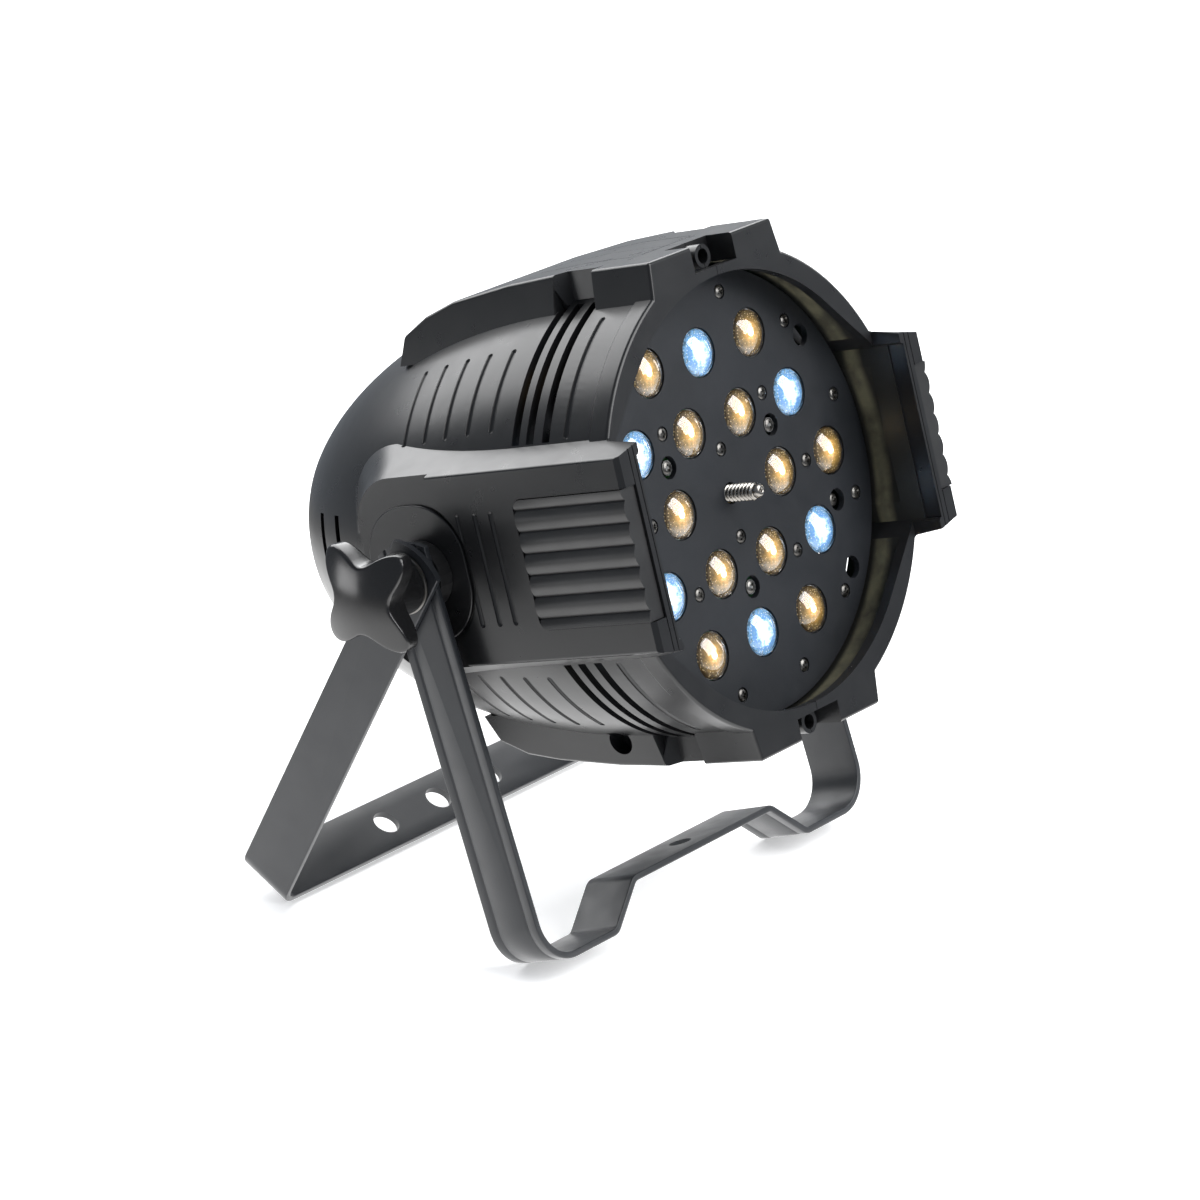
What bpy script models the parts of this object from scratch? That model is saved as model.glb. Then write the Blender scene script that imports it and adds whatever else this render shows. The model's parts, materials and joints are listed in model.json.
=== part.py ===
"""Par can stage light on a double floor bracket, built as separate pieces.

Metres, +Z up. The lamp stands on z = 0 and looks towards -Y, tipped up by TILT.
The head is modelled in the can frame: X is sideways, Y runs back along the optical
axis from the front face of the lens plate, and Z is the radial direction that is
up when the lamp looks level. The brackets are modelled in their own frames at the
pivot axis, with Z along the legs, and the knobs round that same axis.
"""
import math

import bmesh
import bpy
from mathutils import Matrix, Vector

# ---------------------------------------------------------------- driving sizes
GAP = 0.0003                       # clearance between pieces that touch
ROUND_STEPS = 60                   # facets round the can
TILT = math.radians(16.65)         # how far the head looks up
PIVOT_HEIGHT = 0.1700              # pivot axis above the floor
PIVOT_BACK = 0.085                 # pivot axis behind the lens plate
CENTRE_SHIFT = 0.0029              # puts the bounding box's centre on the origin

BODY_R = 0.104                     # outer radius of the can
RIM_R = 0.105
RIM_FRONT = -0.020
LIP_DEPTH = 0.005
OPENING_R = 0.0947
INNER_R = 0.0995
TAPER_START = 0.030                # the can is straight up to here, then domed
DOME_LENGTH = 0.200                # semi-axis of the dome's ellipse
INNER_DOME = 0.1955
REAR = 0.200                       # flat rear end of the can

EAR_X = 0.1085                     # outer plane of the two side ears
EAR_FRONT = -0.035
EAR_REAR = 0.117
EAR_HALF = 0.0415
EAR_INNER_X = 0.0945
BOSS_X = 0.1073
POCKET_X = 0.1050                   # floor of the grip pad's pocket
NOSE_X = 0.0998                     # floor of the deeper pocket in the ear's front end
EAR_HOLLOW_X = 0.1020
PANEL_END = 0.0725                 # where the ear's front panel stops

SPINE_HALF = 0.0425                # half width of the top and bottom spines
SPINE_TOP = 0.1100
SPINE_BOTTOM = 0.1085
VENT_STARTS = (0.0130, 0.0220, 0.0300)
VENT_WIDTH = 0.0042
VENT_ANGLES = (27.5, 67.5)

LENS_PITCH = 0.036
LENS_R = 0.0104
PLATE_R = 0.098
PLATE_T = 0.003
ROD_CIRCLE = 0.042
ROD_ANGLES = (30.0, 150.0, 270.0)
SCREW_R = 0.004

BAR_T = 0.003                      # thickness of both bracket bars
BAR_W = 0.0275
FRONT_X = 0.1185                   # outer face of the front bracket's legs
FRONT_LEG = 0.1765                 # pivot to the underside of the foot
FRONT_RISE = 0.0175                # how far the middle of its crossbar is raised
REAR_X = FRONT_X + BAR_T + GAP
REAR_LEG = 0.1850
BAR_TOP = 0.0164                    # end of a leg above the pivot
BOLT_R = 0.005
HOLE_R = 0.0055

KNOB_BASE = 0.1240
KNOB_BACK = 0.1392                  # flat back of the star
KNOB_TOP = 0.1520
KNOB_DOME = 0.0695                  # radius of the domed face
KNOB_MEAN_R = 0.0207
KNOB_LOBE = 0.0066
KNOB_TIP = 0.0010                   # narrows the lobes and widens the valleys
KNOB_TURN = math.radians(57.5)

PANEL_R = 0.0510
PANEL_Y = 0.1973                   # inner face of the rear panel
PANEL_T = 0.0024
BUTTON_XS = (-0.0210, -0.0070, 0.0070, 0.0210)
BUTTON_Z = 0.0135

BOARD_Y = 0.048                    # front face of the LED board
SINK_Y = 0.0503
MOTOR_Y = 0.0556
FAN_Y = 0.0915


# ---------------------------------------------------------------- small helpers
def material(name, colour, roughness, metallic=0.0):
    mat = bpy.data.materials.new(name)
    mat.use_nodes = True
    shader = mat.node_tree.nodes["Principled BSDF"]
    shader.inputs["Base Color"].default_value = (*colour, 1.0)
    shader.inputs["Roughness"].default_value = roughness
    shader.inputs["Metallic"].default_value = metallic
    return mat


def new_object(name, bm):
    bmesh.ops.recalc_face_normals(bm, faces=bm.faces)
    mesh = bpy.data.meshes.new(name)
    bm.to_mesh(mesh)
    bm.free()
    obj = bpy.data.objects.new(name, mesh)
    bpy.context.collection.objects.link(obj)
    return obj


def ring_faces(bm, first, second):
    count = len(first)
    for i in range(count):
        j = (i + 1) % count
        bm.faces.new((first[i], first[j], second[j], second[i]))


def loft(name, rings):
    """A closed solid through rings of 3-D points that have equal counts."""
    bm = bmesh.new()
    loops = [[bm.verts.new(p) for p in ring] for ring in rings]
    for first, second in zip(loops, loops[1:]):
        ring_faces(bm, first, second)
    bm.faces.new(loops[0])
    bm.faces.new(loops[-1])
    return new_object(name, bm)


def place(axis, level, u, v):
    """The 3-D point at (u, v) on the plane that crosses the axis at level."""
    if axis == "X":
        return (level, u, v)
    if axis == "Y":
        return (u, level, v)
    return (u, v, level)


def prism(name, outline, axis, low, high):
    rings = [[place(axis, level, u, v) for u, v in outline] for level in (low, high)]
    return loft(name, rings)


def box(name, low, high):
    outline = [(low[0], low[1]), (high[0], low[1]), (high[0], high[1]), (low[0], high[1])]
    return prism(name, outline, "Z", low[2], high[2])


def arc(centre, radius, start, stop, steps):
    """Points on an arc, angles in degrees, both ends included."""
    points = []
    for i in range(steps + 1):
        angle = math.radians(start + (stop - start) * i / steps)
        points.append((centre[0] + radius * math.cos(angle), centre[1] + radius * math.sin(angle)))
    return points


def circle(radius, steps, centre=(0.0, 0.0)):
    return arc(centre, radius, 0.0, 360.0, steps)[:-1]


def rounded_rectangle(low, high, radius, steps):
    u0, v0 = low
    u1, v1 = high
    outline = arc((u1 - radius, v1 - radius), radius, 0, 90, steps)
    outline += arc((u0 + radius, v1 - radius), radius, 90, 180, steps)
    outline += arc((u0 + radius, v0 + radius), radius, 180, 270, steps)
    outline += arc((u1 - radius, v0 + radius), radius, 270, 360, steps)
    return outline


def cylinder(name, axis, low, high, radius, centre=(0.0, 0.0), steps=16):
    return prism(name, circle(radius, steps, centre), axis, low, high)


def turned(name, profile, steps, axis="Y", centre=(0.0, 0.0)):
    """A solid turned from (radius, level) points; the two end points are on the axis."""
    bm = bmesh.new()
    start = bm.verts.new(place(axis, profile[0][1], *centre))
    end = bm.verts.new(place(axis, profile[-1][1], *centre))
    loops = []
    for radius, level in profile[1:-1]:
        outline = circle(radius, steps, centre)
        loops.append([bm.verts.new(place(axis, level, u, v)) for u, v in outline])
    for first, second in zip(loops, loops[1:]):
        ring_faces(bm, first, second)
    for tip, loop in ((start, loops[0]), (end, loops[-1])):
        for i in range(steps):
            bm.faces.new((tip, loop[i], loop[(i + 1) % steps]))
    return new_object(name, bm)


def tube(name, points, radius, sides):
    """A round bar along points that lie in a plane of constant X."""
    rings = []
    for i, point in enumerate(points):
        ahead = Vector(points[min(i + 1, len(points) - 1)])
        behind = Vector(points[max(i - 1, 0)])
        along = (ahead - behind).normalized()
        side = Vector((1.0, 0.0, 0.0))
        up = along.cross(side)
        ring = []
        for k in range(sides):
            angle = 2 * math.pi * k / sides
            ring.append(Vector(point) + radius * (math.cos(angle) * side + math.sin(angle) * up))
        rings.append(ring)
    return loft(name, rings)


def combine(target, tools, operation):
    """Cut, join or intersect the target with each tool, and drop the tools."""
    for tool in tools:
        modifier = target.modifiers.new("boolean", "BOOLEAN")
        modifier.operation = operation
        modifier.solver = "EXACT"
        modifier.object = tool
        depsgraph = bpy.context.evaluated_depsgraph_get()
        depsgraph.update()
        mesh = bpy.data.meshes.new_from_object(target.evaluated_get(depsgraph))
        target.modifiers.clear()
        target.data = mesh
        bpy.data.objects.remove(tool)
    return target


def cut(target, *tools):
    return combine(target, tools, "DIFFERENCE")


def join(target, *tools):
    return combine(target, tools, "UNION")


def keep(target, *tools):
    return combine(target, tools, "INTERSECT")


def group(name, parts):
    """Separate solids in one mesh, for use as a single cutter."""
    bm = bmesh.new()
    for part in parts:
        bm.from_mesh(part.data)
        bpy.data.objects.remove(part)
    return new_object(name, bm)


def both_sides(make):
    """The tool that make(side) gives for the left and the right."""
    return [make(side) for side in (-1, 1)]


def finish(obj, name, mat, parent):
    """Name the piece, weld stray vertices, smooth its round faces and hang it on its frame."""
    bm = bmesh.new()
    bm.from_mesh(obj.data)
    bmesh.ops.remove_doubles(bm, verts=bm.verts, dist=1e-6)
    bmesh.ops.dissolve_degenerate(bm, edges=bm.edges, dist=1e-6)
    bmesh.ops.triangulate(bm, faces=[f for f in bm.faces if len(f.verts) > 4])
    bmesh.ops.recalc_face_normals(bm, faces=bm.faces)
    bm.to_mesh(obj.data)
    bm.free()
    obj.name = name
    obj.data.name = name
    obj.data.materials.clear()
    obj.data.materials.append(mat)
    obj.data.shade_smooth()
    obj.data.set_sharp_from_angle(angle=math.radians(35))
    obj.parent = parent
    return obj


# ---------------------------------------------------------------- the two shells
def dome_radius(y, radius, length):
    if y <= TAPER_START:
        return radius
    return radius * math.sqrt(1 - ((y - TAPER_START) / length) ** 2)


def dome_levels(last, steps):
    """Levels along the dome, closer together where it turns inwards."""
    span = last - TAPER_START
    return [TAPER_START + span * math.sin(math.pi / 2 * i / steps) for i in range(steps + 1)]


def can_solid():
    profile = [(0.0, RIM_FRONT), (RIM_R - 0.0015, RIM_FRONT), (RIM_R, RIM_FRONT + 0.0015)]
    profile += [(RIM_R, -0.010), (BODY_R, -0.009)]
    profile += [(dome_radius(y, BODY_R, DOME_LENGTH), y) for y in dome_levels(REAR, 8)]
    profile.append((0.0, REAR))
    return turned("can", profile, ROUND_STEPS)


def can_hollow():
    start = RIM_FRONT + LIP_DEPTH
    last = REAR - 0.0055
    profile = [(0.0, start), (INNER_R, start)]
    profile += [(dome_radius(y, INNER_R, INNER_DOME), y) for y in dome_levels(last, 7)]
    profile.append((0.0, last))
    return turned("hollow", profile, ROUND_STEPS)


def opening_outline():
    """The front opening: a circle with its sides squared off towards the ears."""
    x = EAR_INNER_X
    z = OPENING_R * math.sqrt(2) - x
    outline = [(x, -z), (x, z)] + arc((0, 0), OPENING_R, 45, 135, 15)
    outline += [(-x, z), (-x, -z)] + arc((0, 0), OPENING_R, 225, 315, 15)
    return outline


def ear_outline(front, rear, half, corner):
    outline = [(front, -half)]
    outline += arc((rear - corner, -half + corner), corner, -90, 0, 5)
    outline += arc((rear - corner, half - corner), corner, 0, 90, 5)
    outline.append((front, half))
    return outline


def ear_solid(side):
    levels = (
        (EAR_X, EAR_REAR, EAR_HALF, 0.022),
        (0.0945, EAR_REAR + 0.010, EAR_HALF + 0.005, 0.026),
        (0.080, EAR_REAR + 0.025, EAR_HALF + 0.0105, 0.031),
    )
    rings = []
    for x, rear, half, corner in levels:
        outline = ear_outline(RIM_FRONT, rear, half, corner)
        rings.append([(side * x, y, z) for y, z in outline])
    ear = loft("ear", rings)
    rings = []
    for y, sink, flare in ((EAR_FRONT, 0.0, 0.0030), (RIM_FRONT, 0.0, 0.0050), (-0.0150, 0.0006, 0.0044)):
        wide = EAR_HALF + flare - sink
        half = EAR_HALF - sink
        corners = ((EAR_X - sink, -half), (EAR_X - sink, half), (0.0945, wide))
        corners += ((EAR_INNER_X - 0.001, wide), (EAR_INNER_X - 0.001, -wide), (0.0945, -wide))
        rings.append([(side * x, y, z) for x, z in corners])
    nose = loft("nose", rings)
    return join(ear, nose)


def side_prism(name, outline, side, near, far):
    return prism(name, outline, "X", min(side * near, side * far), max(side * near, side * far))


def ear_cuts(side):
    """The recess round the pivot, the grip's two pockets, the front groove and the hollow."""
    recess = [(PANEL_END, -0.0600), (0.1600, -0.0600), (0.1600, 0.0600), (PANEL_END, 0.0600)]
    arch = rounded_rectangle((0.0590, -0.0325), (0.1180, 0.0325), 0.026, 5)
    pocket = rounded_rectangle((EAR_FRONT - 0.006, -0.0285), (0.0270, 0.0285), 0.005, 3)
    nose_pocket = rounded_rectangle((EAR_FRONT - 0.006, -0.0285), (-0.0120, 0.0285), 0.0012, 2)
    groove = [(EAR_FRONT - 0.001, -0.0480), (EAR_FRONT + 0.0010, -0.0480), (EAR_FRONT + 0.0010, 0.0480)]
    groove.append((EAR_FRONT - 0.001, 0.0480))
    inside = [(0.0115, -0.0365), (0.1030, -0.0365), (0.1030, 0.0365), (0.0115, 0.0365)]
    return [
        side_prism("recess", recess, side, EAR_X - 0.0028, 0.1140),
        side_prism("arch", arch, side, EAR_X - 0.0028, 0.1140),
        side_prism("pocket", pocket, side, POCKET_X, 0.1140),
        side_prism("nose_pocket", nose_pocket, side, NOSE_X, 0.1140),
        side_prism("groove", groove, side, 0.0964, 0.0974),
        side_prism("inside", inside, side, 0.0850, EAR_HOLLOW_X),
    ]


def pivot_boss(side):
    outline = rounded_rectangle((0.0615, -0.0300), (0.1155, 0.0300), 0.024, 5)
    return side_prism("boss", outline, side, 0.1030, BOSS_X)


def spine_solid(sign):
    """The raised block along the top (sign 1) or the bottom (sign -1), notched on both sides."""
    crown = SPINE_TOP if sign > 0 else SPINE_BOTTOM
    outline = [(RIM_FRONT, 0.080), (RIM_FRONT, crown), (0.034, crown), (0.060, crown - 0.0015)]
    outline += [(0.093, crown - 0.0055), (0.110, 0.0995), (0.1225, 0.0930), (0.1275, 0.080)]
    spine = prism("spine", [(y, sign * z) for y, z in outline], "X", -0.050, 0.050)
    section = [(SPINE_HALF, 0.112), (0.0480, 0.078), (-0.0480, 0.078), (-SPINE_HALF, 0.112)]
    section = [(x, sign * z) for x, z in section]
    keep(spine, prism("section", section, "Y", RIM_FRONT - 0.005, 0.140))
    low, high = sorted((sign * 0.0700, sign * 0.1150))
    for side in (-1, 1):
        notch = [(0.0365, 0.0300), (0.0520, 0.0395), (0.0520, 0.0120), (0.0365, 0.0120)]
        cut(spine, prism("notch", [(side * x, y) for x, y in notch], "Z", low, high))
    return spine


def spine_cuts(sign):
    """The spine's hollow, its front notch and the screw hole there."""
    cuts = []
    hollow = [(0.004, 0.080), (0.004, 0.1055), (0.034, 0.1055), (0.060, 0.1040)]
    hollow += [(0.093, 0.1000), (0.108, 0.0960), (0.112, 0.080)]
    hollow = [(y, sign * z) for y, z in hollow]
    cuts.append(prism("spine_hollow", hollow, "X", -0.0335, 0.0335))
    low, high = sorted((sign * 0.0985, sign * 0.1150))
    cuts.append(box("front_notch", (-0.0145, RIM_FRONT - 0.001, low), (0.0145, -0.006, high)))
    cuts.append(cylinder("screw_hole", "Y", -0.0065, 0.0010, 0.0033, (0.0, sign * 0.1035), 12))
    return cuts


def vent_cutter(start, side, sign):
    """A curved slot through the can's wall, between an ear and a spine."""
    first, last = VENT_ANGLES
    outer = arc((0, 0), 0.112, first, last, 8)
    inner = arc((0, 0), 0.090, last, first, 8)
    outline = [(side * x, sign * z) for x, z in outer + inner]
    return prism("vent", outline, "Y", start, start + VENT_WIDTH)


def rear_vent_cutter(start, side):
    outline = [(start, -0.0225), (start + 0.004, -0.0225), (start + 0.004, 0.0225), (start, 0.0225)]
    return side_prism("rear_vent", outline, side, 0.050, 0.100)


def make_shells(mat, parent):
    shell = can_solid()
    join(shell, *both_sides(ear_solid), spine_solid(1), spine_solid(-1))
    cuts = [can_hollow(), prism("opening", opening_outline(), "Y", EAR_FRONT - 0.01, 0.010)]
    for side in (-1, 1):
        cuts += ear_cuts(side)
        cuts.append(rear_vent_cutter(0.1570, side))
        cuts.append(rear_vent_cutter(0.1735, side))
        cuts.append(side_prism("cord_hole", circle(0.006, 16, (0.0545, -0.0957)), side, 0.036, 0.050))
        for sign in (-1, 1):
            for start in VENT_STARTS:
                cuts.append(vent_cutter(start, side, sign))
    cuts += spine_cuts(1) + spine_cuts(-1)
    cuts.append(cylinder("panel_seat", "Y", PANEL_Y - GAP, REAR + 0.001, PANEL_R + GAP, steps=48))
    cuts.append(cylinder("rear_opening", "Y", REAR - 0.010, REAR, 0.0475, steps=48))
    cut(shell, *cuts)
    join(shell, *both_sides(pivot_boss))
    cut(shell, cylinder("bolt_hole", "X", -0.120, 0.120, HOLE_R, (PIVOT_BACK, 0.0)))
    for name, low, high in (("shell_left", -0.200, -GAP / 2), ("shell_right", GAP / 2, 0.200)):
        half = bpy.data.objects.new(name, shell.data.copy())
        bpy.context.collection.objects.link(half)
        keep(half, box("half", (low, -0.100, -0.200), (high, 0.300, 0.200)))
        finish(half, name, mat, parent)
    bpy.data.objects.remove(shell)


def make_grip_pads(mat, parent):
    """Ribbed rubber pads in the ears' pockets; the six ribs run fore and aft."""
    half = 0.0285 - GAP
    ribs = 6
    steps = 6
    crest = []
    for i in range(ribs * steps + 1):
        z = -half + 2 * half * i / (ribs * steps)
        rise = abs(math.cos(math.pi * i / steps)) ** 0.75
        crest.append((EAR_X - 0.0010 + 0.0018 * rise, z))
    outline = crest + [(POCKET_X + GAP, half), (POCKET_X + GAP, -half)]
    for side, name in ((-1, "grip_pad_left"), (1, "grip_pad_right")):
        mirrored = [(side * x, z) for x, z in outline]
        pad = prism(name, mirrored, "Y", EAR_FRONT + 0.0012, 0.0400)
        ends = rounded_rectangle((EAR_FRONT - 0.005, -half), (0.0270 - GAP, half), 0.0048, 3)
        keep(pad, side_prism("ends", ends, side, 0.100, 0.114))
        block = rounded_rectangle((-0.0338, -half), (-0.0123, half), 0.0010, 2)
        join(pad, side_prism("block", block, side, NOSE_X + GAP, POCKET_X + 0.0010))
        finish(pad, name, mat, parent)


# ---------------------------------------------------------------- the optics
def lens_places():
    """Rows of 3, 4, 5, 4 and 3 places on a hexagonal lattice, without the middle one."""
    places = []
    for i in range(-2, 3):
        for j in range(-2, 3):
            if (i, j) == (0, 0) or abs(i + j) > 2:
                continue
            places.append((LENS_PITCH * (j + i / 2), LENS_PITCH * i * math.sqrt(3) / 2))
    return places


def rod_places():
    angles = [math.radians(a) for a in ROD_ANGLES]
    return [(ROD_CIRCLE * math.cos(a), ROD_CIRCLE * math.sin(a)) for a in angles]


def make_lens_plate(mat, parent):
    plate = cylinder("lens_plate", "Y", 0.0, PLATE_T, PLATE_R, steps=48)
    holes = [(p, LENS_R + 0.0005) for p in lens_places()]
    holes += [(p, 0.005) for p in rod_places()]
    holes += [((sx * 0.070, z), 0.005) for sx in (-1, 1) for z in (-0.053, -0.022, 0.053)]
    holes.append(((0.0, 0.0), SCREW_R + 0.0007))
    cutters = [cylinder("hole", "Y", -0.01, 0.01, r, p, 12) for p, r in holes]
    finish(cut(plate, group("holes", cutters)), "lens_plate", mat, parent)


def make_lens_array(mat, parent):
    """Eighteen domed lenses moulded on one clear carrier behind the plate."""
    back = PLATE_T + GAP
    carrier = cylinder("carrier", "Y", back, back + 0.002, 0.089, steps=36)
    bores = [cylinder("bore", "Y", 0.0, 0.02, 0.0050, p, 8) for p in rod_places()]
    bores.append(cylinder("bore", "Y", 0.0, 0.02, 0.0140, steps=16))
    cut(carrier, group("bores", bores))
    profile = [(0.0, -0.0040), (0.0066, -0.0028), (LENS_R, 0.0008), (LENS_R, 0.0045)]
    profile += [(0.0062, 0.0170), (0.0, 0.0170)]
    lenses = [turned("lens", profile, 12, centre=p) for p in lens_places()]
    finish(join(carrier, group("lenses", lenses)), "lens_array", mat, parent)


def make_zoom_drive(steel, brass, dark, parent):
    flange = PLATE_T + GAP
    nut = cylinder("nut", "Y", flange, flange + 0.003, 0.011, steps=20)
    join(nut, cylinder("nut_body", "Y", flange + 0.001, 0.018, 0.0070, steps=16))
    cut(nut, cylinder("thread", "Y", -0.01, 0.03, SCREW_R + GAP, steps=16))
    finish(nut, "zoom_nut", brass, parent)

    profile = [(0.0, -0.0170), (0.0022, -0.0164), (SCREW_R, -0.0140)]
    profile += [(SCREW_R, MOTOR_Y - 2 * GAP), (0.0, MOTOR_Y - 2 * GAP)]
    finish(turned("screw", profile, 16), "lead_screw", steel, parent)

    for i, p in enumerate(rod_places()):
        rod = cylinder("rod", "Y", 0.0010, BOARD_Y - GAP, 0.0032, p, 12)
        finish(rod, f"guide_rod_{i + 1}", steel, parent)

    side = 0.021
    outline = rounded_rectangle((-side, -side), (side, side), 0.004, 1)
    motor = prism("motor", outline, "Y", MOTOR_Y, MOTOR_Y + 0.034)
    finish(motor, "zoom_motor", dark, parent)


def make_led_board(board_mat, sink_mat, parent):
    board = cylinder("board", "Y", BOARD_Y, BOARD_Y + 0.002, 0.089, steps=40)
    chips = []
    for x, z in lens_places():
        low = (x - 0.003, BOARD_Y - 0.0018, z - 0.003)
        high = (x + 0.003, BOARD_Y + 0.001, z + 0.003)
        chips.append(box("chip", low, high))
    join(board, group("chips", chips))
    cut(board, cylinder("bore", "Y", 0.0, 0.1, 0.0060, steps=12))
    finish(board, "led_board", board_mat, parent)

    half = 0.064
    base = 0.005
    depth = 0.029
    fin = 0.0018
    edges = [0.0260, 0.0350, 0.0440, 0.0530, half - fin]
    teeth = []
    for x in edges:
        teeth += [(x, SINK_Y + base), (x, SINK_Y + depth), (x + fin, SINK_Y + depth)]
        teeth.append((x + fin, SINK_Y + base))
    right = teeth[:-1] + [(half, SINK_Y)]
    left = [(-x, y) for x, y in reversed(right)]
    sink = prism("sink", left + right, "Z", -0.058, 0.058)
    cut(sink, cylinder("bore", "Y", 0.0, 0.1, 0.0060, steps=12))
    finish(sink, "heatsink", sink_mat, parent)


# ---------------------------------------------------------------- inside the dome
def make_fan(mat, parent):
    outline = rounded_rectangle((-0.040, -0.040), (0.040, 0.040), 0.004, 1)
    frame = prism("frame", outline, "Y", FAN_Y, FAN_Y + 0.015)
    cut(frame, cylinder("duct", "Y", 0.0, 0.2, 0.0380, steps=24))
    struts = []
    for angle in (45, 135):
        strut = box("strut", (-0.042, FAN_Y + 0.0125, -0.0015), (0.042, FAN_Y + 0.015, 0.0015))
        strut.data.transform(Matrix.Rotation(math.radians(angle), 4, "Y"))
        struts.append(strut)
    hub_back = cylinder("hub_back", "Y", FAN_Y + 0.0125, FAN_Y + 0.015, 0.0125, steps=12)
    finish(join(frame, *struts, hub_back), "fan_frame", mat, parent)

    rotor = cylinder("hub", "Y", FAN_Y + 0.002, FAN_Y + 0.0118, 0.0125, steps=21)
    blades = 7
    for i in range(blades):
        blade = box("blade", (0.010, -0.0045, -0.0006), (0.0365, 0.0045, 0.0006))
        blade.data.transform(Matrix.Rotation(math.radians(50), 4, "X"))
        blade.data.transform(Matrix.Translation((0.0, FAN_Y + 0.0068, 0.0)))
        blade.data.transform(Matrix.Rotation(2 * math.pi * i / blades, 4, "Y"))
        join(rotor, blade)
    finish(rotor, "fan_rotor", mat, parent)


def make_electronics(board_mat, metal, parent):
    psu = box("psu", (-0.046, 0.112, -0.050), (0.046, 0.152, -0.014))
    finish(psu, "power_supply", metal, parent)
    board = box("board", (-0.044, 0.112, 0.0200), (0.044, 0.162, 0.0216))
    chips = [((-0.036, 0.118), (-0.018, 0.136), 0.034), ((-0.008, 0.122), (0.010, 0.140), 0.028)]
    chips.append(((0.018, 0.116), (0.038, 0.128), 0.037))
    for low, high, top in chips:
        join(board, box("chip", (*low, 0.0205), (*high, top)))
    finish(board, "driver_board", board_mat, parent)


def make_pivot_hardware(steel, rubber, parent):
    """Bolts, nut plates, spacers and washers, modelled round the pivot axis."""
    for side, word in ((-1, "left"), (1, "right")):
        bolt = side_prism("bolt", circle(BOLT_R, 16), side, 0.0960, 0.1345)
        join(bolt, side_prism("head", circle(0.0078, 6), side, 0.0940, 0.0987))
        finish(bolt, f"pivot_bolt_{word}", steel, parent)

        square = rounded_rectangle((-0.0125, -0.0125), (0.0125, 0.0125), 0.002, 1)
        plate = side_prism("plate", square, side, 0.0990, EAR_HOLLOW_X - GAP)
        cut(plate, side_prism("hole", circle(HOLE_R, 16), side, 0.090, 0.110))
        finish(plate, f"nut_plate_{word}", steel, parent)

        spacer_end = FRONT_X - BAR_T - GAP
        spacer = side_prism("spacer", circle(0.0150, 20), side, BOSS_X + GAP, spacer_end)
        cut(spacer, side_prism("hole", circle(HOLE_R, 16), side, 0.090, 0.130))
        finish(spacer, f"pivot_spacer_{word}", rubber, parent)

        washer = side_prism("washer", circle(0.0135, 24), side, REAR_X + GAP, KNOB_BASE - GAP)
        cut(washer, side_prism("hole", circle(HOLE_R, 16), side, 0.110, 0.130))
        finish(washer, f"knob_washer_{word}", steel, parent)


def knob_ring(side, scale, lobes, flat_x=None, steps=32):
    """One ring of the four-lobed star, flat at flat_x or else on the domed face."""
    points = []
    for i in range(steps):
        angle = 2 * math.pi * i / steps
        wave = 4 * (angle - KNOB_TURN)
        radius = scale * (KNOB_MEAN_R + lobes * (KNOB_LOBE * math.cos(wave) + KNOB_TIP * math.cos(2 * wave)))
        x = KNOB_TOP - radius ** 2 / (2 * KNOB_DOME) if flat_x is None else flat_x
        points.append((side * x, radius * math.cos(angle), radius * math.sin(angle)))
    return points


def make_knobs(mat, parent):
    for side, name in ((-1, "knob_left"), (1, "knob_right")):
        rings = [knob_ring(side, 0.97, 1.0, KNOB_BACK), knob_ring(side, 1.0, 1.0, KNOB_BACK + 0.0008)]
        rings.append([(x - side * 0.0008, y, z) for x, y, z in knob_ring(side, 1.0, 1.0)])
        rings += [knob_ring(side, 0.96, 1.0), knob_ring(side, 0.55, 0.5), knob_ring(side, 0.15, 0.0)]
        knob = loft("knob", rings)
        join(knob, side_prism("hub", circle(0.0130, 20), side, KNOB_BASE, KNOB_BACK + 0.0008))
        cut(knob, side_prism("bore", circle(BOLT_R + GAP, 16), side, 0.1200, 0.1360))
        finish(knob, name, mat, parent)


# ---------------------------------------------------------------- the rear panel
PANEL_HOLES = {"dmx_in": (-0.0235, -0.0065), "dmx_out": (0.0235, -0.0065)}
INLET_PLACE = (0.0, -0.0340)
FUSE_PLACE = (0.0310, -0.0280)
EYE_PLACE = (-0.0310, -0.0280)
DISPLAY_PLACE = (0.0, 0.0295)


def centred_box(name, centre, width, height, low_y, high_y):
    x, z = centre
    low = (x - width / 2, low_y, z - height / 2)
    return box(name, low, (x + width / 2, high_y, z + height / 2))


def make_rear_panel(mat, parent):
    panel = cylinder("panel", "Y", PANEL_Y, PANEL_Y + PANEL_T, PANEL_R, steps=40)
    cutters = [cylinder("socket", "Y", 0.19, 0.21, 0.0114, p, 16) for p in PANEL_HOLES.values()]
    cutters.append(centred_box("inlet", INLET_PLACE, 0.0276, 0.0196, 0.19, 0.21))
    cutters.append(centred_box("display", DISPLAY_PLACE, 0.0400, 0.0140, 0.19, 0.21))
    cutters.append(cylinder("fuse", "Y", 0.19, 0.21, 0.0056, FUSE_PLACE, 12))
    cutters.append(cylinder("eye", "Y", 0.19, 0.21, 0.0029, EYE_PLACE, 10))
    for x in BUTTON_XS:
        cutters.append(cylinder("button", "Y", 0.19, 0.21, 0.0040, (x, BUTTON_Z), 10))
    finish(cut(panel, group("panel_cuts", cutters)), "rear_panel", mat, parent)


def make_buttons(mat, parent):
    for i, x in enumerate(BUTTON_XS):
        button = cylinder("cap", "Y", 0.1945, 0.2012, 0.0037, (x, BUTTON_Z), 12)
        join(button, cylinder("flange", "Y", 0.1930, 0.1955, 0.0048, (x, BUTTON_Z), 12))
        finish(button, f"menu_button_{i + 1}", mat, parent)


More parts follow.
